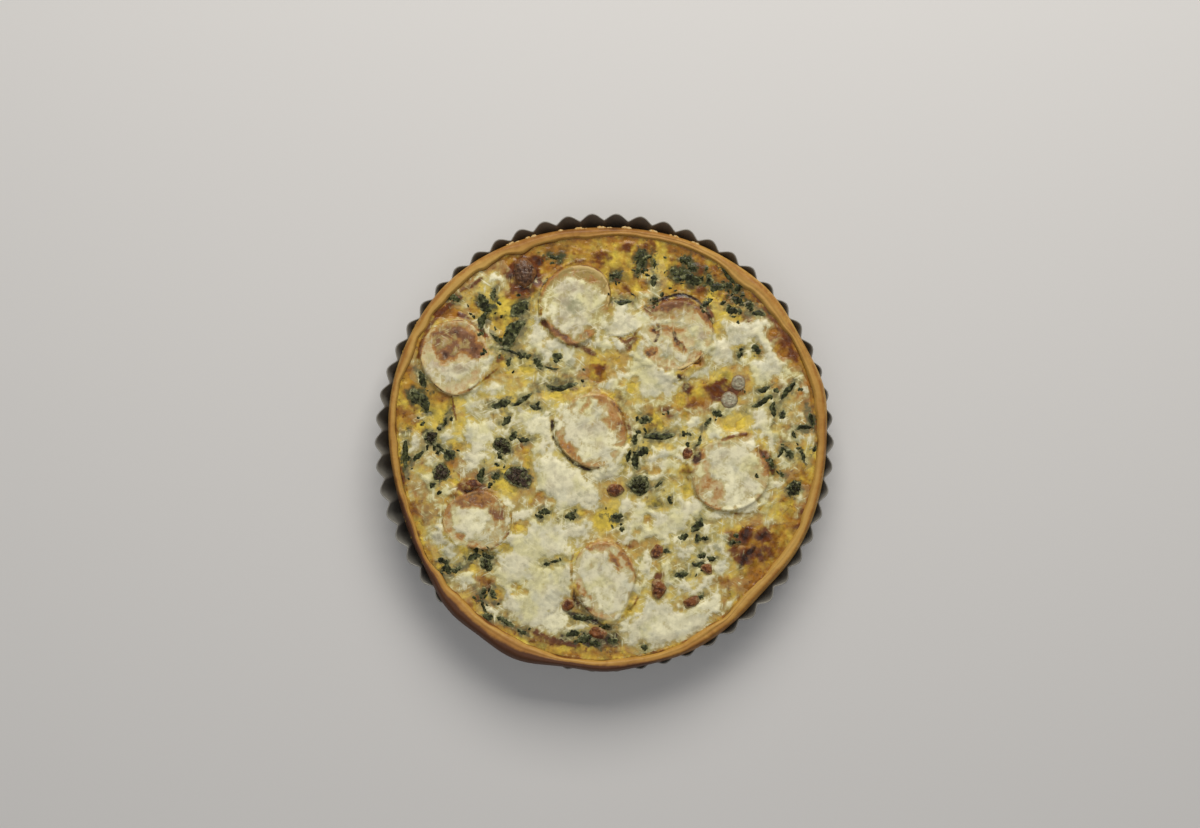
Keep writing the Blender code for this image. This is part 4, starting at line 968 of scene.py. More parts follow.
def sliceMaterial():
    material, tree, shader = newMaterial("slice")
    body, fine = useGroup(tree, sliceColour).outputs["Colour"], grain(tree, 2.2, 4, 0.65)
    broad = grain(tree, 12, 3, 0.6)
    share = add(tree, painted(tree, "share"), swing(tree, grain(tree, 7, 3, 0.6), 0.5, 0.14))
    unburnt = stepBetween(tree, painted(tree, "red"), 0.9, 0.2, 0.15, 1.0)
    rind = times(tree, stepBetween(tree, share, 0.84, 0.93, 0, 0.85), unburnt)
    colour = blendColour(tree, rind, body, sliceColours["rind"])
    # a thin dark brown line at the very rim, in patches: partly browning, partly painted shade where the
    # slice's edge stands over the custard
    patches = stepBetween(tree, broad, 0.40, 0.56, 0.15, 1.0)
    browned = times(tree, stepBetween(tree, share, 0.95, 0.99), patches)
    colour = blendColour(tree, browned, colour, sliceColours["brown"])
    finish(tree, shader, colour, (0.45, 0.2))
    bumpOf(tree, shader, fine, 0.4, 0.4)
    return material


def cheeseMaterial():
    # thin cheese lets the custard's colour through, thick cheese is cream with paler strands
    material, tree, shader = newMaterial("cheese")
    baked = useGroup(tree, bakedColour)
    fine, middle = grain(tree, 1.5, 3, 0.6, shift=0.2), grain(tree, 5, 2.5, 0.45, shift=0.45)
    broad, tint = grain(tree, 16, 2, 0.45, shift=0.7), grain(tree, 10, 2.5, 0.5, shift=1.3)
    strand = add(tree, painted(tree, "strand"), swing(tree, fine, 0.5, 0.8))
    crossed = calc(tree, "MAXIMUM", threads(tree, 1.3, 7, 25), threads(tree, 1.3, 7, 85))
    crossed = calc(tree, "MAXIMUM", crossed, threads(tree, 1.3, 7, 145))
    thread = stepBetween(tree, crossed, 0.60, 0.76)
    body = layer(tree, cheeseLook["cream"], broad, (0.44, 0.60), cheeseLook["warm"])
    body = layer(tree, body, tint, (0.50, 0.70, 0.8), cheeseLook["grey"])
    clear = add(tree, swing(tree, middle, 0.5, 1.8), swing(tree, strand, 0.5, -0.5))
    clear = add(tree, clear, times(tree, painted(tree, "stain"), 0.85))
    body = layer(tree, body, clear, (0.18, 1.0, 0.85), cheeseLook["clear"])
    toast = add(tree, painted(tree, "toast"), swing(tree, grain(tree, 7, 2.5, 0.5, shift=0.2), 0.5, 1.2))
    toast = add(tree, toast, swing(tree, strand, 0.5, -0.2))
    body = layer(tree, body, toast, (0.0, 0.6, 0.85), cheeseLook["lilac"])
    body = layer(tree, body, toast, (0.35, 1.05, 0.85), cheeseLook["toast"])
    thin = add(tree, swing(tree, fine, 0.5, 0.5), swing(tree, middle, 0.5, 0.9))
    cover = add(tree, painted(tree, "cover"), add(tree, thin, swing(tree, thread, 0.35, 0.35)))
    bright = add(tree, painted(tree, "bright"), swing(tree, middle, 0.5, 1.6))
    body = layer(tree, body, bright, (0.25, 1.0, 0.9), cheeseLook["bright"])
    body = layer(tree, body, cover, (0.80, 0.36, 0.75), cheeseLook["film"])
    # darker where the strands are few: painted shade in the gaps between strands, with a fine mottle
    toneScale = stepBetween(tree, add(tree, strand, swing(tree, fine, 0.5, 0.8)), 0.1, 0.95, 0.87, 1.06)
    body = blendColour(tree, 1.0, body, toneScale, "MULTIPLY")
    body = blendColour(tree, times(tree, thread, 0.35), body, cheeseLook["bright"])
    slices = useGroup(tree, sliceColour)
    under = blendColour(tree, painted(tree, "onSlice"), baked.outputs["Colour"], slices.outputs["Colour"])
    colour = blendColour(tree, stepBetween(tree, cover, 0.08, 0.76), under, body)
    finish(tree, shader, colour, (0.42, 0.3))
    bumpOf(tree, shader, add(tree, add(tree, middle, fine), times(tree, thread, 0.3)), 0.25, 0.5)
    return material


# custard

custardForm = {
    "grid": 300, "floor": 4.2, "rimInset": 0.9, "rimDepth": 32.4, "baseRadius": 121.5, "meniscus": 0.7,
}


def buildCustard():
    # a square grid bent into a disc: x = u * sqrt(1 - v * v / 2), y = v * sqrt(1 - u * u / 2),
    # scaled out to the pastry's inner edge and closed by a sloping side and a flat bottom
    n = custardForm["grid"]
    u, v = np.meshgrid(np.linspace(-1, 1, n), np.linspace(-1, 1, n), indexing="ij")
    x, y = u * np.sqrt(1 - v * v / 2), v * np.sqrt(1 - u * u / 2)
    direction, share = np.degrees(np.arctan2(y, x)), np.hypot(x, y)
    reach = crustInner(direction) + 0.5
    x, y = (x * reach).ravel(), (y * reach).ravel()
    fields = surface(x, y)
    top = fields["custard"]
    edge = smooth(0.978, 1, share.ravel())
    top += custardForm["meniscus"] * edge
    ring = gridRim(np.arange(n * n).reshape(n, n))
    points = [np.stack([x, y, top], 1)]
    ringDirection = np.degrees(np.arctan2(y[ring], x[ring]))
    hem = (crustInner(ringDirection) - custardForm["rimInset"], custardForm["rimDepth"])
    for r, height in (hem, (custardForm["baseRadius"], custardForm["floor"])):
        points.append(stacked(*polar(r, ringDirection), height))
    faces = gridFaces(n, n)[:, ::-1].tolist()
    first = n * n
    rows = [ring, first + np.arange(len(ring)), first + len(ring) + np.arange(len(ring))]
    for upper, lower in zip(rows[:-1], rows[1:]):
        faces += np.stack([lower, np.roll(lower, -1), np.roll(upper, -1), upper], 1).tolist()
    faces.append(rows[-1][::-1].tolist())
    tones = {tone: np.concatenate([fields[tone], np.zeros(2 * len(ring))]) for tone in toneLayout}
    # a dark red-brown line along the pastry: browning at the custard's edge, with painted shade in the gap
    # beside the pastry
    tones["red"][:len(x)] = np.maximum(tones["red"][:len(x)], edge * (0.55 + 0.3 * noise(x, y, 16, 66)))
    custard = makeMesh("custard", np.vstack(points), faces, custardMaterial(), attributes=tones)
    seat(custard, "custard", *familyOf["filling"])


# melted cheese

cheeseForm = {
    "cell": 0.84, "floor": 33.0, "film": 0.40, "body": 1.3, "overSlice": 0.62, "ceiling": 41.05,
    "strands": 11000, "strandHeight": 0.10, "lumps": 0.16, "fringe": 1.8, "block": 8,
}


def blurred(field, sigma):
    # Gaussian blur through the frequency domain, sigma in cells
    fx, fy = np.meshgrid(np.fft.fftfreq(field.shape[0]), np.fft.rfftfreq(field.shape[1]), indexing="ij")
    weight = np.exp(-2 * (np.pi * sigma) ** 2 * (fx ** 2 + fy ** 2))
    return np.fft.irfft2(np.fft.rfft2(field) * weight, field.shape)


def strandRelief(shape, cell, reach, count, seed):
    # short curved strands laid over one another: points along each are added to the grid, then blurred,
    # and the result is how crowded each spot is, 0.5 on average
    rng = np.random.default_rng(seed)
    x, y = rng.uniform(-reach, reach, (2, count))
    heading, bend = rng.uniform(0, 2 * np.pi, count), rng.normal(0, 0.12, count)
    length, height = rng.uniform(4, 11, count), rng.uniform(0.3, 1, count)
    field = np.zeros(shape)
    steps = 40
    for k in range(steps):
        angle = heading + bend * length * k / steps
        x, y = x + np.cos(angle) * length / steps, y + np.sin(angle) * length / steps
        i, j = np.round((x + reach) / cell).astype(int), np.round((y + reach) / cell).astype(int)
        ok = (i >= 0) & (i < shape[0]) & (j >= 0) & (j < shape[1])
        np.add.at(field, (i[ok], j[ok]), height[ok] * length[ok])
    field = blurred(field, 0.8)
    return np.clip(0.5 + 0.28 * (field - field.mean()) / field.std(), 0, 1.2)


# how toasted each slice is, how glassy, and how much it tints the cheese over it (0 to 1)
sliceLook = [
    {"warm": 0.15, "glassy": 1.0, "veil": 0.24}, {"warm": 0.30, "glassy": 0.0, "veil": 0.42},
    {"warm": 0.30, "glassy": 0.1, "veil": 0.30}, {"warm": 0.80, "glassy": 0.1, "veil": 0.20},
    {"warm": 0.40, "glassy": 0.1, "veil": 0.12}, {"warm": 0.35, "glassy": 0.2, "veil": 0.12},
    {"warm": 0.32, "glassy": 0.1, "veil": 0.12},
]
cheeseMap = {}


def buildCheese():
    # a closed height field: top = what lies beneath + thickness, where the thickness is above nothing
    form = cheeseForm
    cell, reach = form["cell"], crustInner(np.arange(360)).max() + 1
    axis = np.arange(-reach, reach + form["cell"], cell)
    x, y = np.meshgrid(axis, axis, indexing="ij")
    fields = surface(x.ravel(), y.ravel())
    fields = {key: value.reshape(x.shape) for key, value in fields.items()}
    onSlice = sliceHeight(x, y)
    inside = crustInner(np.degrees(np.arctan2(y, x))) - 1.2 - np.hypot(x, y)
    strands = strandRelief(x.shape, cell, reach, form["strands"], 71)
    depth = np.minimum(fields["cheese"] + form["fringe"] * (strands - 0.5), inside)
    grow = smooth(-0.5, 6.5, depth)
    base = fields["custard"] + onSlice
    evened = base - fields["relief"] * smooth(-4.2, 0, depth)
    draped = np.maximum(np.maximum(blurred(evened, 1.6), evened), fields["custard"] + fields["ramp"])
    thickness = form["film"] * smooth(-3.6, 2.0, depth)
    thickness += form["body"] * grow * (0.8 + 0.35 * noise(x, y, 11, 72))
    thickness += grow * (form["strandHeight"] * (strands - 0.5) + form["lumps"] * fractal(x, y, 8, 73, 2))
    thickness = np.maximum(thickness, 0.10 * smooth(-5.0, -3.6, depth))
    thickness *= np.where(onSlice > 0.5, form["overSlice"], 1.0)
    top = draped + thickness + fields["lip"] * smooth(-0.4, 0.8, depth)
    top -= 0.9 * (1 - smooth(-5.8, -4.6, depth))
    top = form["ceiling"] - 0.3 * np.log1p(np.exp((form["ceiling"] - top) / 0.3))
    cheeseMap.update(axis=axis, top=np.where(depth > -4.6, np.maximum(top, base), base), depth=depth)
    low = np.maximum(np.maximum(depth[:-1, :-1], depth[1:, :-1]), np.maximum(depth[:-1, 1:], depth[1:, 1:]))
    used = low > -5.6
    for _ in range(6):
        # cells that meet only at a corner are joined, so that the shell stays a clean solid
        falling = used[:-1, :-1] & used[1:, 1:] & ~used[1:, :-1] & ~used[:-1, 1:]
        rising = ~used[:-1, :-1] & ~used[1:, 1:] & used[1:, :-1] & used[:-1, 1:]
        used[1:, :-1] |= falling
        used[:-1, :-1] |= rising
    n = len(axis)
    index = np.arange(n * n).reshape(n, n)
    i, j = np.nonzero(used)
    upper = np.stack([index[i, j], index[i + 1, j], index[i + 1, j + 1], index[i, j + 1]], 1)
    padded = np.pad(used, 1)
    walls = []
    sides = ((-1, 0, (0, 1), (0, 0)), (1, 0, (1, 0), (1, 1)), (0, -1, (0, 0), (1, 0)), (0, 1, (1, 1), (0, 1)))
    for di, dj, first, second in sides:
        open_ = ~padded[i + 1 + di, j + 1 + dj]
        a = index[i[open_] + first[0], j[open_] + first[1]]
        b = index[i[open_] + second[0], j[open_] + second[1]]
        walls.append(np.stack([b, a, a + n * n, b + n * n], 1))
    # the hidden underside uses one many-sided face for each full block of cells
    k = form["block"]
    m = (n - 1) // k
    full = used[:m * k, :m * k].reshape(m, k, m, k).all((1, 3))
    coarse = np.zeros_like(used)
    coarse[:m * k, :m * k] = np.kron(full, np.ones((k, k), bool))
    p, q = np.nonzero(full)
    run = np.arange(k)
    loopI = np.concatenate([np.zeros(k, int), run, np.full(k, k), k - run])
    loopJ = np.concatenate([run, np.full(k, k), k - run, np.zeros(k, int)])
    blocks = index[p[:, None] * k + loopI, q[:, None] * k + loopJ] + n * n
    fi, fj = np.nonzero(used & ~coarse)
    lower = np.stack([index[fi, fj], index[fi, fj + 1], index[fi + 1, fj + 1], index[fi + 1, fj]], 1) + n * n
    faces = upper.tolist() + np.vstack(walls).tolist() + blocks.tolist() + lower.tolist()
    flatten = lambda a: np.concatenate([a.ravel(), a.ravel()])
    points = np.vstack([stacked(x, y, top), stacked(x, y, form["floor"])])
    cover = np.clip((depth + 4.6) / 9.0, 0, 1) + 0.25 * (strands - 0.5) * smooth(-5.0, -2.0, depth)
    cover -= 0.10 * (onSlice > 0.3)
    values = {tone: flatten(fields[tone]) for tone in toneLayout}
    values["cover"] = flatten(cover)
    values["strand"] = flatten(strands)
    values["toast"] = flatten(0.8 * fields["red"] * (1 - smooth(0.5, 3.5, depth)) + sliceVeil(x, y))
    values["onSlice"] = flatten(smooth(-0.2, 0.6, onSlice))
    for label in ("warm", "glassy"):
        values[label] = flatten(sum(
            look[label] * (outlineDepth(x, y, shape) > -2) for shape, look in zip(sliceShapes, sliceLook)))
    points, faces, values = keepUsed(points, faces, values)
    cheese = makeMesh("meltedCheese", points, faces, cheeseMaterial(), attributes=values)
    seat(cheese, "cheese", *familyOf["drift"], *familyOf["topping"])


def sliceVeil(x, y):
    # how far a slice tints the cheese over it: most near its rim, and not where its rim is buried
    veil = np.zeros_like(x)
    for number, (shape, look) in enumerate(zip(sliceShapes, sliceLook), 1):
        inside = outlineDepth(x, y, shape)
        edge = 1 - smooth(4, 13, inside)
        direction = np.degrees(np.arctan2(y - shape[0][1], x - shape[0][0]))
        buried = np.zeros_like(x)
        for sliceNumber, first, last in rimCover:
            if sliceNumber == number:
                away = turnFrom(direction, (first + last) / 2) - (last - first) / 2
                buried = np.maximum(buried, 1 - smooth(-6, 14, away))
        tint = look["veil"] * (0.85 + 0.35 * edge) * (1 - buried * edge)
        veil = np.maximum(veil, tint * smooth(-1.0, 1.0, inside))
    return veil


def keepUsed(points, faces, values):
    # drops the vertices that no face uses
    flat = np.concatenate([np.asarray(f) for f in faces])
    keep = np.zeros(len(points), bool)
    keep[flat] = True
    renumber = np.cumsum(keep) - 1
    return points[keep], [renumber[f].tolist() for f in faces], {k: v[keep] for k, v in values.items()}


def cheeseDepthAt(x, y):
    return readMap("depth", x, y)


def topAt(x, y):
    # height of the finished top: custard, slices or cheese
    return readMap("top", x, y)


def readMap(field, x, y):
    # reads a field of the cheese grid between its points
    axis, top = cheeseMap["axis"], cheeseMap[field]
    cell = axis[1] - axis[0]
    u = np.clip((np.asarray(x, float) - axis[0]) / cell, 0, len(axis) - 1.001)
    v = np.clip((np.asarray(y, float) - axis[0]) / cell, 0, len(axis) - 1.001)
    i, j = u.astype(int), v.astype(int)
    s, t = u - i, v - j
    near = top[i, j] * (1 - s) + top[i + 1, j] * s
    far = top[i, j + 1] * (1 - s) + top[i + 1, j + 1] * s
    return near * (1 - t) + far * t


# round slices


def buildSlices():
    # rings from the centre of the top out over the rim and back under to the centre of the bottom
    material = sliceMaterial()
    rings, around_ = 44, 180
    share = np.concatenate([np.linspace(0.02, 0.86, 22), np.linspace(0.875, 0.999, 22)])
    for number, (centre, radius) in enumerate(sliceShapes):
        direction = np.arange(around_) * 360 / around_
        s, d = np.meshgrid(share, direction, indexing="ij")
        r = s * around(radius, d) * (1 + 0.006 * noise(d / 9, s * 0 + number * 3, 1, 90))
        x, y = polar(r, d, centre)
        curl = 0.25 * noise(x, y, 11, 80 + number)
        z = custardHeight(x, y) + sliceProfile(s) + curl * smooth(0.8, 0.95, s) * (1 - smooth(0.95, 1, s))
        z += 0.16 * fractal(x, y, 3, 90 + number) * (1 - smooth(0.8, 0.95, s))
        z = np.minimum(z, 40.7)
        skirt = s[-1:] * 0 + 0.985
        rx = centre[0] + 0.985 * (x[-1:] - centre[0])
        ry = centre[1] + 0.985 * (y[-1:] - centre[1])
        low = custardHeight(rx, ry) - 1.0
        points = np.vstack([
            stacked(x, y, z), stacked(rx, ry, low),
            [[centre[0], centre[1], float(np.mean(z[0]))], [centre[0], centre[1], float(low.mean())]],
        ])
        faces = shellFaces(rings + 1, around_)
        flatX, flatY = points[:, 0], points[:, 1]
        tones = surface(flatX, flatY)
        look = sliceLook[number]
        values = {
            "red": tones["red"], "char": tones["char"],
            "share": np.concatenate([s.ravel(), skirt.ravel(), [0, 1]]),
            "warm": np.full(len(points), look["warm"]), "glassy": np.full(len(points), look["glassy"]),
        }
        piece = makeMesh("slice_" + str(number + 1) + "_baked", points, faces, material, attributes=values)
        seat(piece, "rind", familyOf["slice"][number])


# spinach

spinachLook = {
    "dark": (0.009, 0.009, 0.003), "green": (0.042, 0.047, 0.011), "vein": (0.12, 0.125, 0.045),
    "wilted": (0.085, 0.052, 0.038), "film": (0.12, 0.125, 0.05), "veil": (0.34, 0.32, 0.16),
    "lift": 0.18, "thickness": 0.4, "crumple": 0.8,
}


wiltedClumps = {"spinach_2": 0.9, "spinach_3": 0.7, "spinach_4": 0.4, "spinach_6": 0.35}


def spinachMaterial():
    material, tree, shader = newMaterial("spinach")
    mottle = grain(tree, 1.8, 4, 0.65)
    colour = layer(tree, spinachLook["dark"], mottle, (0.46, 0.68), spinachLook["green"])
    wilted = times(tree, painted(tree, "wilted"), stepBetween(tree, mottle, 0.36, 0.6))
    colour = blendColour(tree, wilted, colour, spinachLook["wilted"])
    vein = times(tree, painted(tree, "vein"), stepBetween(tree, grain(tree, 3, 2, 0.5, shift=0.9), 0.4, 0.6))
    colour = blendColour(tree, times(tree, vein, 0.7), colour, spinachLook["vein"])
    veil = add(tree, grain(tree, 2.4, 3, 0.6, shift=1.7), times(tree, painted(tree, "edge"), 0.20))
    colour = layer(tree, colour, veil, (0.50, 0.70, 0.85), spinachLook["film"])
    colour = layer(tree, colour, veil, (0.64, 0.84, 0.85), spinachLook["veil"])
    finish(tree, shader, colour, (0.32, 0.12))
    bumpOf(tree, shader, grain(tree, 1.6, 3, 0.6, shift=0.4), 0.45, 0.5)
    return material


def leafParts(rows, seed, steps=17, across=6):
    # each leaf is a crumpled sheet closed by a copy beneath, with a wandering midrib and lobed sides:
    # half width = width / 2 * sin(pi * t) ^ 0.5 * (1 + lobes)
    rng = np.random.default_rng(seed)
    points, faces, veins, rims = [], [], [], []
    t, v = np.meshgrid(np.linspace(0.01, 0.99, steps), np.linspace(-1, 1, across), indexing="ij")
    for cx, cy, length, width, turn in rows:
        knots = np.linspace(0, 1, 12)
        left, right = np.interp(t, knots, rng.uniform(-1, 1, 12)), np.interp(t, knots, rng.uniform(-1, 1, 12))
        lobes = np.where(v > 0, left, right)
        half = width / 2 * np.sin(np.pi * t) ** 0.5 * (1 + min(0.5, 4 / length) * lobes)
        bend = rng.uniform(-0.12, 0.12) * length * np.sin(np.pi * t)
        bend += rng.uniform(-0.04, 0.04) * length * np.sin(2 * np.pi * t)
        along, side = (t - 0.5) * length, half * v + bend
        c, s = math.cos(math.radians(turn)), math.sin(math.radians(turn))
        x, y = cx + along * c - side * s, cy + along * s + side * c
        fold = spinachLook["crumple"] * (noise(x, y, 2.4, 101) + 0.5 * noise(x, y, 1.1, 102))
        edge = 1 - np.maximum(np.abs(v), np.abs(2 * t - 1)) ** 4
        z = topAt(x, y) + edge * (spinachLook["lift"] + 0.5 * np.abs(fold) + 0.18 * (1 - np.abs(v)))
        start = sum(len(p) for p in points)
        top = stacked(x, y, z)
        bottom = top - [0, 0, spinachLook["thickness"]]
        points += [top, bottom]
        count = steps * across
        faces += gridFaces(steps, across, start=start)[:, ::-1].tolist()
        faces += gridFaces(steps, across, start=start + count).tolist()
        ring = gridRim(np.arange(count).reshape(steps, across)) + start
        after = np.roll(ring, -1)
        faces += np.stack([after, ring, ring + count, after + count], 1).tolist()
        veins += [np.exp(-(v.ravel() * 5) ** 2)] * 2
        rims += [np.maximum(np.abs(v), np.abs(2 * t - 1)).ravel() ** 3] * 2
    veins = np.concatenate(veins)
    values = {"vein": veins, "edge": np.concatenate(rims), "wilted": np.zeros(len(veins))}
    return np.vstack(points), faces, values


def buildSpinach():
    material = spinachMaterial()
    rng = np.random.default_rng(110)
    for nodeName in familyOf["spinach"]:
        # a clump is several leaves laid over one another inside its outline
        centre, radius, low, high = placeOf(nodeName, soften=10)
        points, faces = lump(centre, radius, low, high, int(rng.integers(1000)), 0.9, 2.0, 120)
        x, y = points[:, 0], points[:, 1]
        upper = points[:, 2] > low + 0.4
        crinkle = 0.7 * np.abs(noise(x, y, 2.3, 103)) + 0.5 * np.abs(noise(x, y, 1.2, 104))
        points[:, 2] -= np.where(upper, 1.1 - crinkle, 0)
        still = np.zeros(len(points))
        values = {"vein": still, "edge": rimShareOf(points, centre, radius) ** 3 * 1.2,
                  "wilted": still + wiltedClumps.get(nodeName, 0.15)}
        seat(makeMesh(nodeName + "_leaves", points, faces, material, attributes=values), "spinach", nodeName)
    # small torn bits lie round the larger leaves
    flecks = []
    for row in leafLayout:
        for _ in range(3):
            far, way = rng.uniform(0.5, 1.2) * row[2], rng.uniform(0, 2 * np.pi)
            size = rng.uniform(1.6, 4.2)
            flecks.append((row[0] + far * math.cos(way), row[1] + far * math.sin(way), size,
                           size * rng.uniform(0.4, 0.8), rng.uniform(0, 180)))
    flecks = [f for f in flecks if math.hypot(f[0], f[1]) < 124 and cheeseDepthAt(f[0], f[1]) < -0.8]
    points, faces, values = leafParts(flecks, 112, 7, 4)
    seat(makeMesh("spinachFlecks", points, faces, material, attributes=values), "spinach")
    points, faces, values = leafParts(leafLayout, 111)
    seat(makeMesh("spinachLeaves", points, faces, material, attributes=values), "spinach")


# lardons, browned onion and onion discs

def lump(centre, radius, low, high, seed, rough=0.5, round_=3.0, around_=72):
    # a dome whose height falls as (1 - t ^ round) ^ 0.5 from its middle to its outline, on a flat foot
    share = np.concatenate([np.linspace(0.04, 0.8, 15), np.linspace(0.84, 0.99, 9)])
    d = np.arange(around_) * 360 / around_
    t, d = np.meshgrid(share, d, indexing="ij")
    r = around(radius, d) * 0.98 * t * (1 + 0.10 * t * ringNoise(d, 7, seed))
    x, y = polar(r, d, centre)
    height = (high - low) * np.sqrt(1 - t ** round_)
    push = rough * (fractal(x, y, 3.4, seed) - 0.5) * (1 - t ** 6)
    z = np.minimum(low + height + push, high)
    points = np.vstack([stacked(x, y, z), stacked(x[-1], y[-1], low),
                        [[centre[0], centre[1], z[0].mean()], [centre[0], centre[1], low]]])
    return points, shellFaces(len(share) + 1, around_)


def lardonParts(centre, radius, low, high, seed):
    # a chunk with a flattish, creased top, sunk so that the cheese closes round its foot
    points, faces = lump(centre, radius, low, high, seed, 0.4, 4.0, 90)
    x, y = points[:, 0], points[:, 1]
    share = rimShareOf(points, centre, radius)
    creased = 0.5 * np.abs(noise(x, y, 3.6, seed + 1)) + 0.25 * np.abs(noise(x, y, 1.7, seed + 2))
    upper = points[:, 2] > low + 0.5
    points[:, 2] -= np.where(upper, creased * (1 - share ** 6).clip(0, 1) + 0.7, 0)
    return points, faces


def roastMaterial(name, look, sizes, roughness):
    # dark to light by two grains, and towards the rim colour where the piece sinks in
    material, tree, shader = newMaterial(name)
    broad, fine = grain(tree, sizes[0], 3, 0.6), grain(tree, sizes[1], 3, 0.6, shift=0.5)
    colour = layer(tree, look["dark"], broad, (0.40, 0.58), look["mid"])
    colour = layer(tree, colour, fine, (0.54, 0.70), look["light"])
    rim = add(tree, painted(tree, "rim"), swing(tree, grain(tree, 3.4, 3, 0.6, shift=0.8), 0.5, 1.6))
    colour = layer(tree, colour, rim, (0.62, 1.08, 0.9), look["rim"])
    finish(tree, shader, colour, (roughness, 0.22))
    bumpOf(tree, shader, fine, 0.6, 0.5)
    return material


meatLook = {
    "dark": (0.075, 0.023, 0.009), "mid": (0.20, 0.068, 0.017), "light": (0.31, 0.132, 0.04),
    "rim": (0.36, 0.24, 0.11),
}
knobLook = {
    "dark": (0.055, 0.026, 0.015), "mid": (0.125, 0.064, 0.034), "light": (0.25, 0.175, 0.115),
    "rim": (0.22, 0.095, 0.028),
}


def rimShareOf(points, centre, radius):
    x, y = points[:, 0] - centre[0], points[:, 1] - centre[1]
    return np.hypot(x, y) / around(radius, np.degrees(np.arctan2(y, x)))


def placeOf(nodeName, count=72, soften=8):
    # a node's centre, its outline, and its lowest and highest point
    low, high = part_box(nodeName)
    centre = centreOf(nodeName)
    return centre, nodeOutline(nodeName, centre, count, soften), low.z / mm, high.z / mm


def buildLumps():
    meat = roastMaterial("lardon", meatLook, (4.5, 2.2), 0.42)
    for number, nodeName in enumerate(familyOf["lardon"]):
        centre, radius, low, high = placeOf(nodeName)
        points, faces = lardonParts(centre, radius, low, high, 120 + number)
        rim = {"rim": rimShareOf(points, centre, radius)}
        seat(makeMesh(nodeName + "_fried", points, faces, meat, attributes=rim), "lardon", nodeName)
    browned = roastMaterial("brownedOnion", knobLook, (3.0, 1.4), 0.3)
    for nodeName in familyOf["browned_onion"]:
        centre, radius, low, high = placeOf(nodeName, 90)
        points, faces = lump(centre, radius, low, high, 140, 0.25, 1.5, 150)
        x, y = points[:, 0], points[:, 1]
        grains = 0.35 * noise(x, y, 2.0, 141) + 0.28 * noise(x, y, 1.2, 142) + 0.3
        points[:, 2] += np.where(points[:, 2] > low + 0.5, grains - 0.9, 0)
        rim = {"rim": rimShareOf(points, centre, radius)}
        knob = makeMesh(nodeName + "_glazed", points, faces, browned, attributes=rim)
        seat(knob, "browned_onion", nodeName)


onionLook = {
    "browned": (0.22, 0.115, 0.042), "flesh": (0.30, 0.265, 0.165), "ring": (0.22, 0.165, 0.10),
    "middle": (0.38, 0.345, 0.225),
}


def buildOnions():
    material, tree, shader = newMaterial("onion")
    share, cloud = painted(tree, "share"), grain(tree, 3, 3, 0.6)
    turns = add(tree, times(tree, share, 14.0), times(tree, cloud, 9.0))
    wave = stepBetween(tree, calc(tree, "SINE", turns), -0.9, 0.9)
    colour = blendColour(tree, wave, onionLook["ring"], onionLook["flesh"])
    colour = layer(tree, colour, cloud, (0.42, 0.62), onionLook["middle"])
    worn = add(tree, share, swing(tree, cloud, 0.5, 1.2))
    colour = layer(tree, colour, worn, (0.72, 1.02, 0.8), onionLook["browned"])
    finish(tree, shader, colour, (0.35, 0.3))
    bumpOf(tree, shader, grain(tree, 1.2, 3, 0.6), 0.3, 0.3)
    for number, nodeName in enumerate(familyOf["onion"]):
        centre, radius, low, high = placeOf(nodeName)
        points, faces = lump(centre, radius, low, high, 150 + number, 0.5, 5.0)
        reach = np.hypot(points[:, 0] - centre[0], points[:, 1] - centre[1])
        share = reach / radius.mean()
        upper = points[:, 2] > (low + high) / 2
        points[:, 2] += np.where(upper, 0.08 * np.sin(share * 14) - 0.3, 0)
        piece = makeMesh(nodeName + "_ring", points, faces, material, attributes={"share": share})
        seat(piece, "onion", nodeName)


# pastry

crustForm = {
    "segments": 900, "floor": 1.2, "baseRadius": 127.0, "innerBase": 122.8, "wallRadius": 134.4,
    "wallTop": 32.2, "innerFloor": 4.4, "poleHeight": 4.0,
    "overhang": 32.55, "innerFoot": 31.0, "edgeWave": 1.0, "steps": 30,
    "innerFall": (2.6, 0.30, 2.2), "outerFall": (3.9, 0.42, 2.0),    # millimetres, share of the width, power
    # where the rim is creased along its length: (direction, half spread, depth)
    "creased": [
        (42, 24, 0.45), (312, 24, 0.38), (95, 10, 0.15), (200, 18, 0.2), (245, 14, 0.35), (140, 16, 0.3),
    ],
    # where it is pinched in over the custard: (direction, half spread, millimetres)
    "pleats": [
        (113, 2.6, 1.8), (121, 2, 1), (124, 1.6, 1.2), (139, 2.2, 1), (147, 3.2, 1.6), (33, 5, 1),
        (52, 4, 1.4), (64, 26, 2.2), (104, 12, 1.2), (140, 18, 1.8), (330, 24, 1), (300, 5, 1),
        (232, 6, 1.2), (218, 4, 1),
    ],
    # painted shade in the gap along its inner edge, where the pastry meets the custard: (direction, half
    # spread, share of the width)
    "gapShade": [
        (150, 22, 0.16), (130, 12, 0.12), (172, 10, 0.1), (118, 8, 0.08), (60, 12, 0.06), (250, 20, 0.06),
    ],
    # paler stretches of the inner slope, painted highlight where it faces the light: (direction, half spread,
    # strength)
    "pale": [
        (92, 30, 0.22), (137, 18, 1.6), (172, 16, 0.4), (45, 16, 0.7), (338, 26, 0.9), (310, 14, 0.5),
        (88, 16, 0.15), (20, 10, 0.3), (160, 8, 0.4),
    ],
    # browning towards the outer edge, and on the south side painted shade where the outer slope faces away
    # from the light: (direction, half spread, strength)
    "burnAndShade": [
        (92, 30, 0.75), (262, 24, 0.4), (200, 14, 0.3), (232, 28, 1.2), (268, 24, 1.1), (203, 18, 0.7),
        (185, 16, 0.15), (330, 14, 0.25), (302, 16, 0.3),
    ],
}
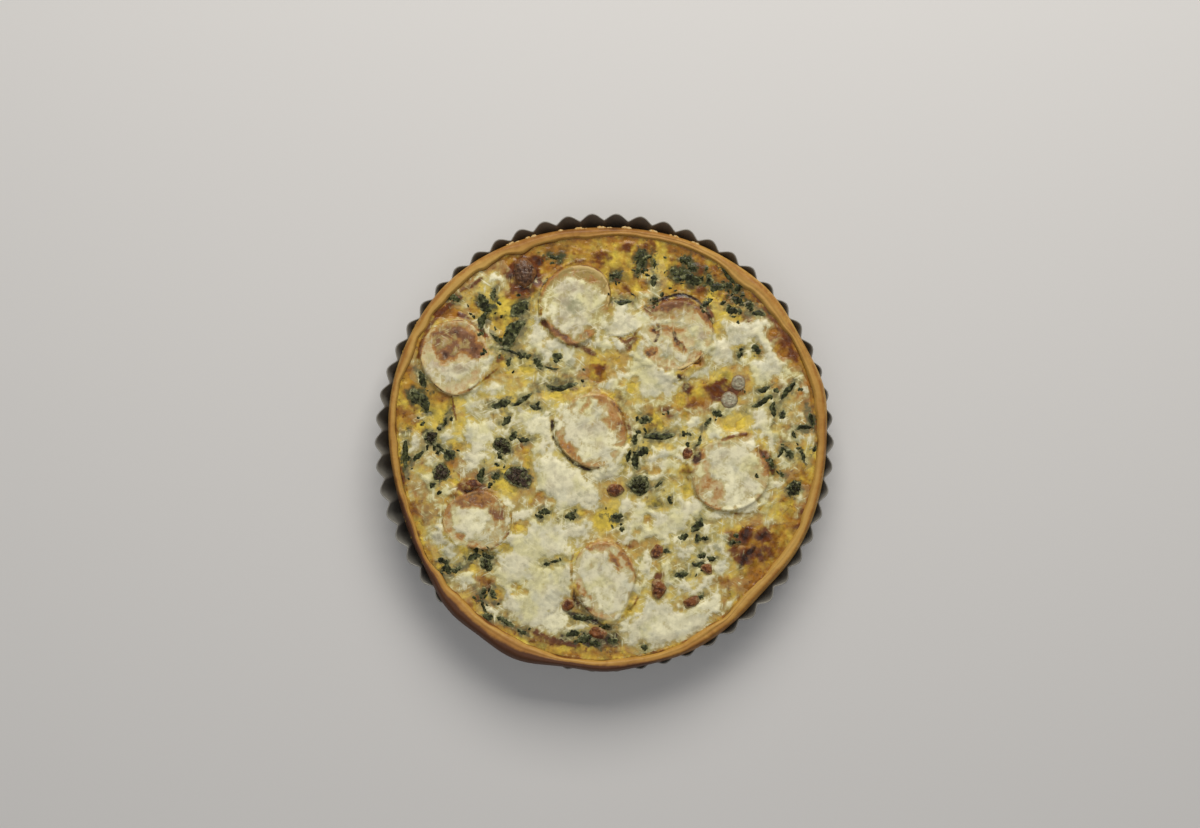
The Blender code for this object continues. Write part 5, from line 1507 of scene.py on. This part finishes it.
crustLook = {
    "ridge": (0.46, 0.245, 0.045), "tan": (0.39, 0.185, 0.030), "stripe": (0.30, 0.122, 0.018),
    "crease": (0.155, 0.052, 0.009), "burntAndShaded": (0.070, 0.021, 0.006), "edge": (0.51, 0.30, 0.068),
}


def between(tree, value, start, full, last, end):
    # a band that rises from start to full and falls again from last to end
    return times(tree, stepBetween(tree, value, start, full), stepBetween(tree, value, end, last))


def crustMaterial():
    material, tree, shader = newMaterial("pastry")
    band, toast = painted(tree, "band"), painted(tree, "toast")
    fine, broad = grain(tree, 2.6, 3, 0.6), grain(tree, 8, 3, 0.6, shift=0.3)
    slow = grain(tree, 26, 3, 0.5, shift=0.6)
    colour = layer(tree, crustLook["tan"], slow, (0.40, 0.58), crustLook["ridge"])
    stripe = between(tree, band, 0.50, 0.70, 0.80, 0.93)
    stripe = times(tree, stripe, stepBetween(tree, broad, 0.36, 0.62, 0.15, 0.9))
    colour = blendColour(tree, stripe, colour, crustLook["stripe"])
    # lighter along the inner edge in broad patches: painted highlight on the ridge by the inner edge
    innerEdge = between(tree, band, 0.00, 0.06, 0.10, 0.24)
    innerEdge = times(tree, innerEdge, stepBetween(tree, slow, 0.60, 0.36, 0.2, 0.8))
    colour = blendColour(tree, innerEdge, colour, crustLook["edge"])
    outerEdge = times(tree, stepBetween(tree, band, 0.86, 0.97), stepBetween(tree, toast, 0.3, 0.0, 0, 0.6))
    colour = blendColour(tree, outerEdge, colour, crustLook["edge"])
    # darker along the creases: painted shade in the folds of the rim
    colour = blendColour(tree, painted(tree, "crease"), colour, crustLook["crease"])
    # the inner wall and its gap to the custard take the crease colour: painted shade
    colour = layer(tree, colour, band, (0.025, -0.04), crustLook["crease"])
    mottle = add(tree, swing(tree, broad, 0.5, 1.5), swing(tree, fine, 0.5, 0.5))
    colour = layer(tree, colour, mottle, (0.0, 0.5, 0.7), crustLook["stripe"])
    colour = layer(tree, colour, mottle, (-0.05, -0.5, 0.5), crustLook["edge"])
    # painted highlight on the inner slope over the stretches listed under pale
    pale = add(tree, painted(tree, "pale"), times(tree, mottle, -0.5))
    colour = layer(tree, colour, pale, (0.1, 1.0, 0.85), crustLook["edge"])
    # darker towards the outer edge: browning, with painted shade on the south side
    burnAndShade = add(tree, toast, times(tree, mottle, 0.45))
    colour = layer(tree, colour, burnAndShade, (0.15, 0.55, 0.6), crustLook["stripe"])
    colour = layer(tree, colour, burnAndShade, (0.40, 1.0, 0.95), crustLook["burntAndShaded"])
    finish(tree, shader, colour, (0.48, 0.32))
    bumpOf(tree, shader, add(tree, fine, broad), 0.4, 0.5)
    return material


def buildCrust():
    # one closed band of rings: base, outer wall, overhanging edge, rounded top, inner wall, floor
    # top = crest - a * (1 - s / b) ^ p near the inner edge, the same near the outer edge, minus the creases
    form = crustForm
    d = np.arange(form["segments"]) * 360 / form["segments"]
    still = np.zeros(form["segments"])
    outer = crustOuter(d) - 0.1
    inner = crustInner(d) + form["edgeWave"] * ringNoise(d, 46, 165) + 0.55 * ringNoise(d, 110, 166)
    inner -= bell(d, form["pleats"])
    crest = around(crustTops, d) - 0.12
    creaseDepth = np.clip(bell(d, form["creased"]) + 0.16 * ringNoise(d, 24, 164), 0, 1)
    creasePlace = 0.38 + 0.12 * ringNoise(d, 17, 160) + 0.09 * ringNoise(d, 52, 161)
    floor, base = form["floor"], form["baseRadius"]
    rows = [(still + 30, still + floor, -0.3, still), (still + base, still + floor, 1.2, still)]
    wall = np.minimum(form["wallRadius"], outer - 0.4)
    rows += [(base + (wall - base) * k, floor + (form["wallTop"] - floor) * k + still, 1.1, still)
             for k in (0.1, 0.5, 0.97)]
    rows.append((wall, still + form["overhang"], 1.05, still))
    rows.append((outer - 0.5, still + form["overhang"], 1.03, still))
    for k in range(form["steps"] + 1):
        share = (1 + math.cos(math.pi * k / form["steps"])) / 2
        fall, width, power = form["innerFall"]
        drop = fall * max(0.0, 1 - share / width) ** power
        fall, width, power = form["outerFall"]
        drop += fall * max(0.0, 1 - (1 - share) / width) ** power
        crease = creaseDepth * np.exp(-((share - creasePlace) / 0.07) ** 2)
        reach = inner + (outer - inner) * share
        x, y = polar(reach, d)
        ripple = 0.32 * noise(x, y, 10, 170) + 0.12 * noise(x, y, 4, 171)
        z = crest - drop - crease + ripple * math.sin(math.pi * min(1, share + 0.1)) - 0.25
        z = np.minimum(np.maximum(z, form["overhang"] + 0.05), crest)
        rows.append((reach, z, share, crease))
    rows.append((inner - 0.4, still + form["innerFoot"], -0.1, still))
    rows.append((still + form["innerBase"], still + form["innerFloor"], -0.2, still))
    rows.append((still + 30, still + form["poleHeight"], -0.3, still))
    points = np.vstack([stacked(*polar(r, d), z) for r, z, _, _ in rows])
    n = form["segments"]
    points = np.vstack([points, [[0, 0, floor], [0, 0, form["poleHeight"]]]])
    faces = shellFaces(len(rows), n, True)
    blur = 0.10 * ringNoise(d, 44, 167) + 0.05 * ringNoise(d, 120, 169)
    gapShade = bell(d, form["gapShade"]) * (1 + 0.5 * ringNoise(d, 50, 172))
    burnAndShade = bell(d, form["burnAndShade"]) * (1 + 0.25 * ringNoise(d, 30, 168))
    pale = bell(d, form["pale"])

    def overRows(value, poles=0.0):
        # a value of every ring in turn, and one for each of the two poles
        return np.concatenate([value(row[2], row[3]) for row in rows] + [[poles, poles]])

    values = {
        "band": overRows(lambda s, c: s + blur * (0 < s < 1) - gapShade * max(0, 1 - abs(s) * 4), -0.3),
        "crease": overRows(lambda s, c: 0.9 * c).clip(0, 0.9),
        "toast": overRows(lambda s, c: burnAndShade * smooth(0.15, 0.80, s)),
        # pale: painted highlight on the inner slope
        "pale": overRows(lambda s, c: pale * smooth(-0.02, 0.08, s) * (1 - smooth(0.30, 0.72, s))),
    }
    crust = makeMesh("pastry", points, faces, crustMaterial(), attributes=values)
    seat(crust, "pastry", *familyOf["crust"])


crumbForm = {
    "count": 46, "first": 66, "last": 118, "size": (0.7, 1.7), "squash": (1.4, 0.8, 0.6),
    "colour": (0.52, 0.36, 0.15),
}


def buildCrumbs():
    # flakes of pastry caught between the rim and the tin: squashed balls with uneven radii
    form, rng = crumbForm, np.random.default_rng(190)
    material, tree, shader = newMaterial("crumbs")
    cloud = grain(tree, 1.6, 3, 0.6)
    light = blendColour(tree, stepBetween(tree, cloud, 0.4, 0.65), form["colour"], crustLook["ridge"])
    tree.links.new(light, shader.inputs["Base Color"])
    shader.inputs["Roughness"].default_value = 0.7
    t, a = np.meshgrid(np.radians([30, 60, 90, 120, 150]), np.radians(np.arange(8) * 45), indexing="ij")
    points, faces = [], []
    for k in range(form["count"]):
        flute = 360 / tinForm["flutes"]
        direction = round(rng.uniform(form["first"], form["last"]) / flute - 0.5) * flute + flute / 2
        direction += rng.normal(0, 0.8)
        size = rng.uniform(*form["size"])
        middle = crustOuter(np.array(direction)) - rng.uniform(0.1, 0.9)
        height = around(crustTops, np.array(direction)) - 3.6
        lumpy = size * rng.uniform(0.7, 1.1, t.shape)
        wide, deep, tall = form["squash"]
        ball = stacked(lumpy * np.sin(t) * np.cos(a) * wide, lumpy * np.sin(t) * np.sin(a) * deep,
                       lumpy * np.cos(t) * tall)
        ball = np.vstack([ball, [[0, 0, tall * size], [0, 0, -tall * size]]])
        c, s = math.cos(math.radians(direction)), math.sin(math.radians(direction))
        start, outward, aside = k * len(ball), middle + ball[:, 1], ball[:, 0]
        points.append(stacked(c * outward + s * aside, s * outward - c * aside, height + ball[:, 2]))
        faces += shellFaces(5, 8, False, start)
    seat(makeMesh("pastryCrumbs", np.vstack(points), faces, material), "pastry")


# tin

tinForm = {
    "flutes": 58, "perFlute": 14, "wall": 0.8, "rimDepth": 3.9, "baseCrest": 131.0, "baseDepth": 2.0,
    "fillet": 1.6, "roundness": 1.3, "rings": 14,
}
tinLook = {"steel": (0.20, 0.185, 0.155), "worn": (0.275, 0.262, 0.222)}


def tinWall(d, share, inset):
    # crest radius grows from base to rim, flute = |cos(flutes / 2 * angle)| ^ roundness
    form = tinForm
    crest = form["baseCrest"] + (tinRadius * 0.9998 - form["baseCrest"]) * share
    depth = form["baseDepth"] + (form["rimDepth"] - form["baseDepth"]) * share
    flute = np.abs(np.cos(np.radians(form["flutes"] / 2 * d))) ** form["roundness"]
    return crest - depth * (1 - flute) - inset


def buildTin():
    form = tinForm
    material, tree, shader = newMaterial("tin")
    mottle = grain(tree, 22, 4, 0.6)
    colour = layer(tree, tinLook["steel"], mottle, (0.36, 0.7), tinLook["worn"])
    tree.links.new(colour, shader.inputs["Base Color"])
    shader.inputs["Metallic"].default_value = 0.15
    shader.inputs["Roughness"].default_value = 0.42
    n, fillet, wall = form["flutes"] * form["perFlute"], form["fillet"], form["wall"]
    d = np.arange(n) * 360 / n
    rise = tinHeight - 0.25 - fillet
    rows = [(30, 0), (tinWall(d, 0, fillet), 0)]
    for k in range(1, 6):
        a = math.pi / 2 * k / 5
        rows.append((tinWall(d, 0, fillet * (1 - math.sin(a))), fillet * (1 - math.cos(a))))
    rows += [(tinWall(d, share, 0), fillet + rise * share) for share in np.linspace(0, 1, form["rings"])[1:]]
    rows += [(tinWall(d, 1, 0.22), tinHeight), (tinWall(d, 1, wall - 0.22), tinHeight)]
    rows += [(tinWall(d, share, wall), fillet + rise * share) for share in np.linspace(1, 0, form["rings"])]
    rows += [(tinWall(d, 0, fillet + 0.4), wall), (30, wall)]
    points = np.vstack([stacked(*polar(r, d), z) for r, z in rows] + [[[0, 0, 0], [0, 0, wall]]])
    faces = shellFaces(len(rows), n, True)
    seat(makeMesh("flutedTin", points, faces, material), "tin", *familyOf["tin"])


buildCustard()
buildCheese()
buildSlices()
buildSpinach()
buildLumps()
buildOnions()
buildCrust()
buildCrumbs()
buildTin()


# floor, lights and camera

def areaLight(name, place, size, power, colour):
    # a soft lamp aimed at the middle of the floor
    data = bpy.data.lights.new(name, "AREA")
    data.shape, data.size, data.size_y = "RECTANGLE", size[0], size[1]
    data.energy, data.color = power, colour
    lamp = bpy.data.objects.new(name, data)
    bpy.context.scene.collection.objects.link(lamp)
    lamp.location = place
    lamp.rotation_euler = (math.atan2(math.hypot(place[0], place[1]), place[2]), 0,
                           math.atan2(place[0], -place[1]))


# metres; power in watts; the camera looks straight down from above the middle
studio = {
    "floor": (0.62, 0.60, 0.57), "floorReach": 9, "world": (0.9, 0.93, 1.0), "worldStrength": 0.2,
    "window": ((0.15, 1.25, 1.15), (1.3, 0.9), 28, (1.0, 0.98, 0.95)),
    "fill": ((-0.3, -0.6, 2.0), (1.6, 1.6), 8.5, (0.97, 0.98, 1.0)),
    "camera": (-0.0026, 0.0175, 1.032), "lens": 49.2,
}


def buildStudio():
    data, reach = bpy.data.meshes.new("floor"), studio["floorReach"]
    corners = [(-reach, -reach, 0), (reach, -reach, 0), (reach, reach, 0), (-reach, reach, 0)]
    data.from_pydata(corners, [], [(0, 1, 2, 3)])
    floor = bpy.data.objects.new("floor", data)
    bpy.context.scene.collection.objects.link(floor)
    material, tree, shader = newMaterial("floor")
    feed(tree, shader.inputs["Base Color"], studio["floor"])
    shader.inputs["Roughness"].default_value = 0.8
    data.materials.append(material)
    for name in ("window", "fill"):
        areaLight(name, *studio[name])
    world = bpy.data.worlds.new("studio")
    world.use_nodes = True
    background = world.node_tree.nodes["Background"]
    feed(world.node_tree, background.inputs["Color"], studio["world"])
    background.inputs["Strength"].default_value = studio["worldStrength"]
    scene = bpy.context.scene
    scene.world = world
    scene.view_settings.view_transform = "Standard"
    lens = bpy.data.cameras.new("camera")
    lens.sensor_width, lens.lens = 36.0, studio["lens"]
    camera = bpy.data.objects.new("camera", lens)
    camera.location = studio["camera"]
    scene.collection.objects.link(camera)
    scene.camera = camera


buildStudio()
print("quiche: floor, lights and camera")
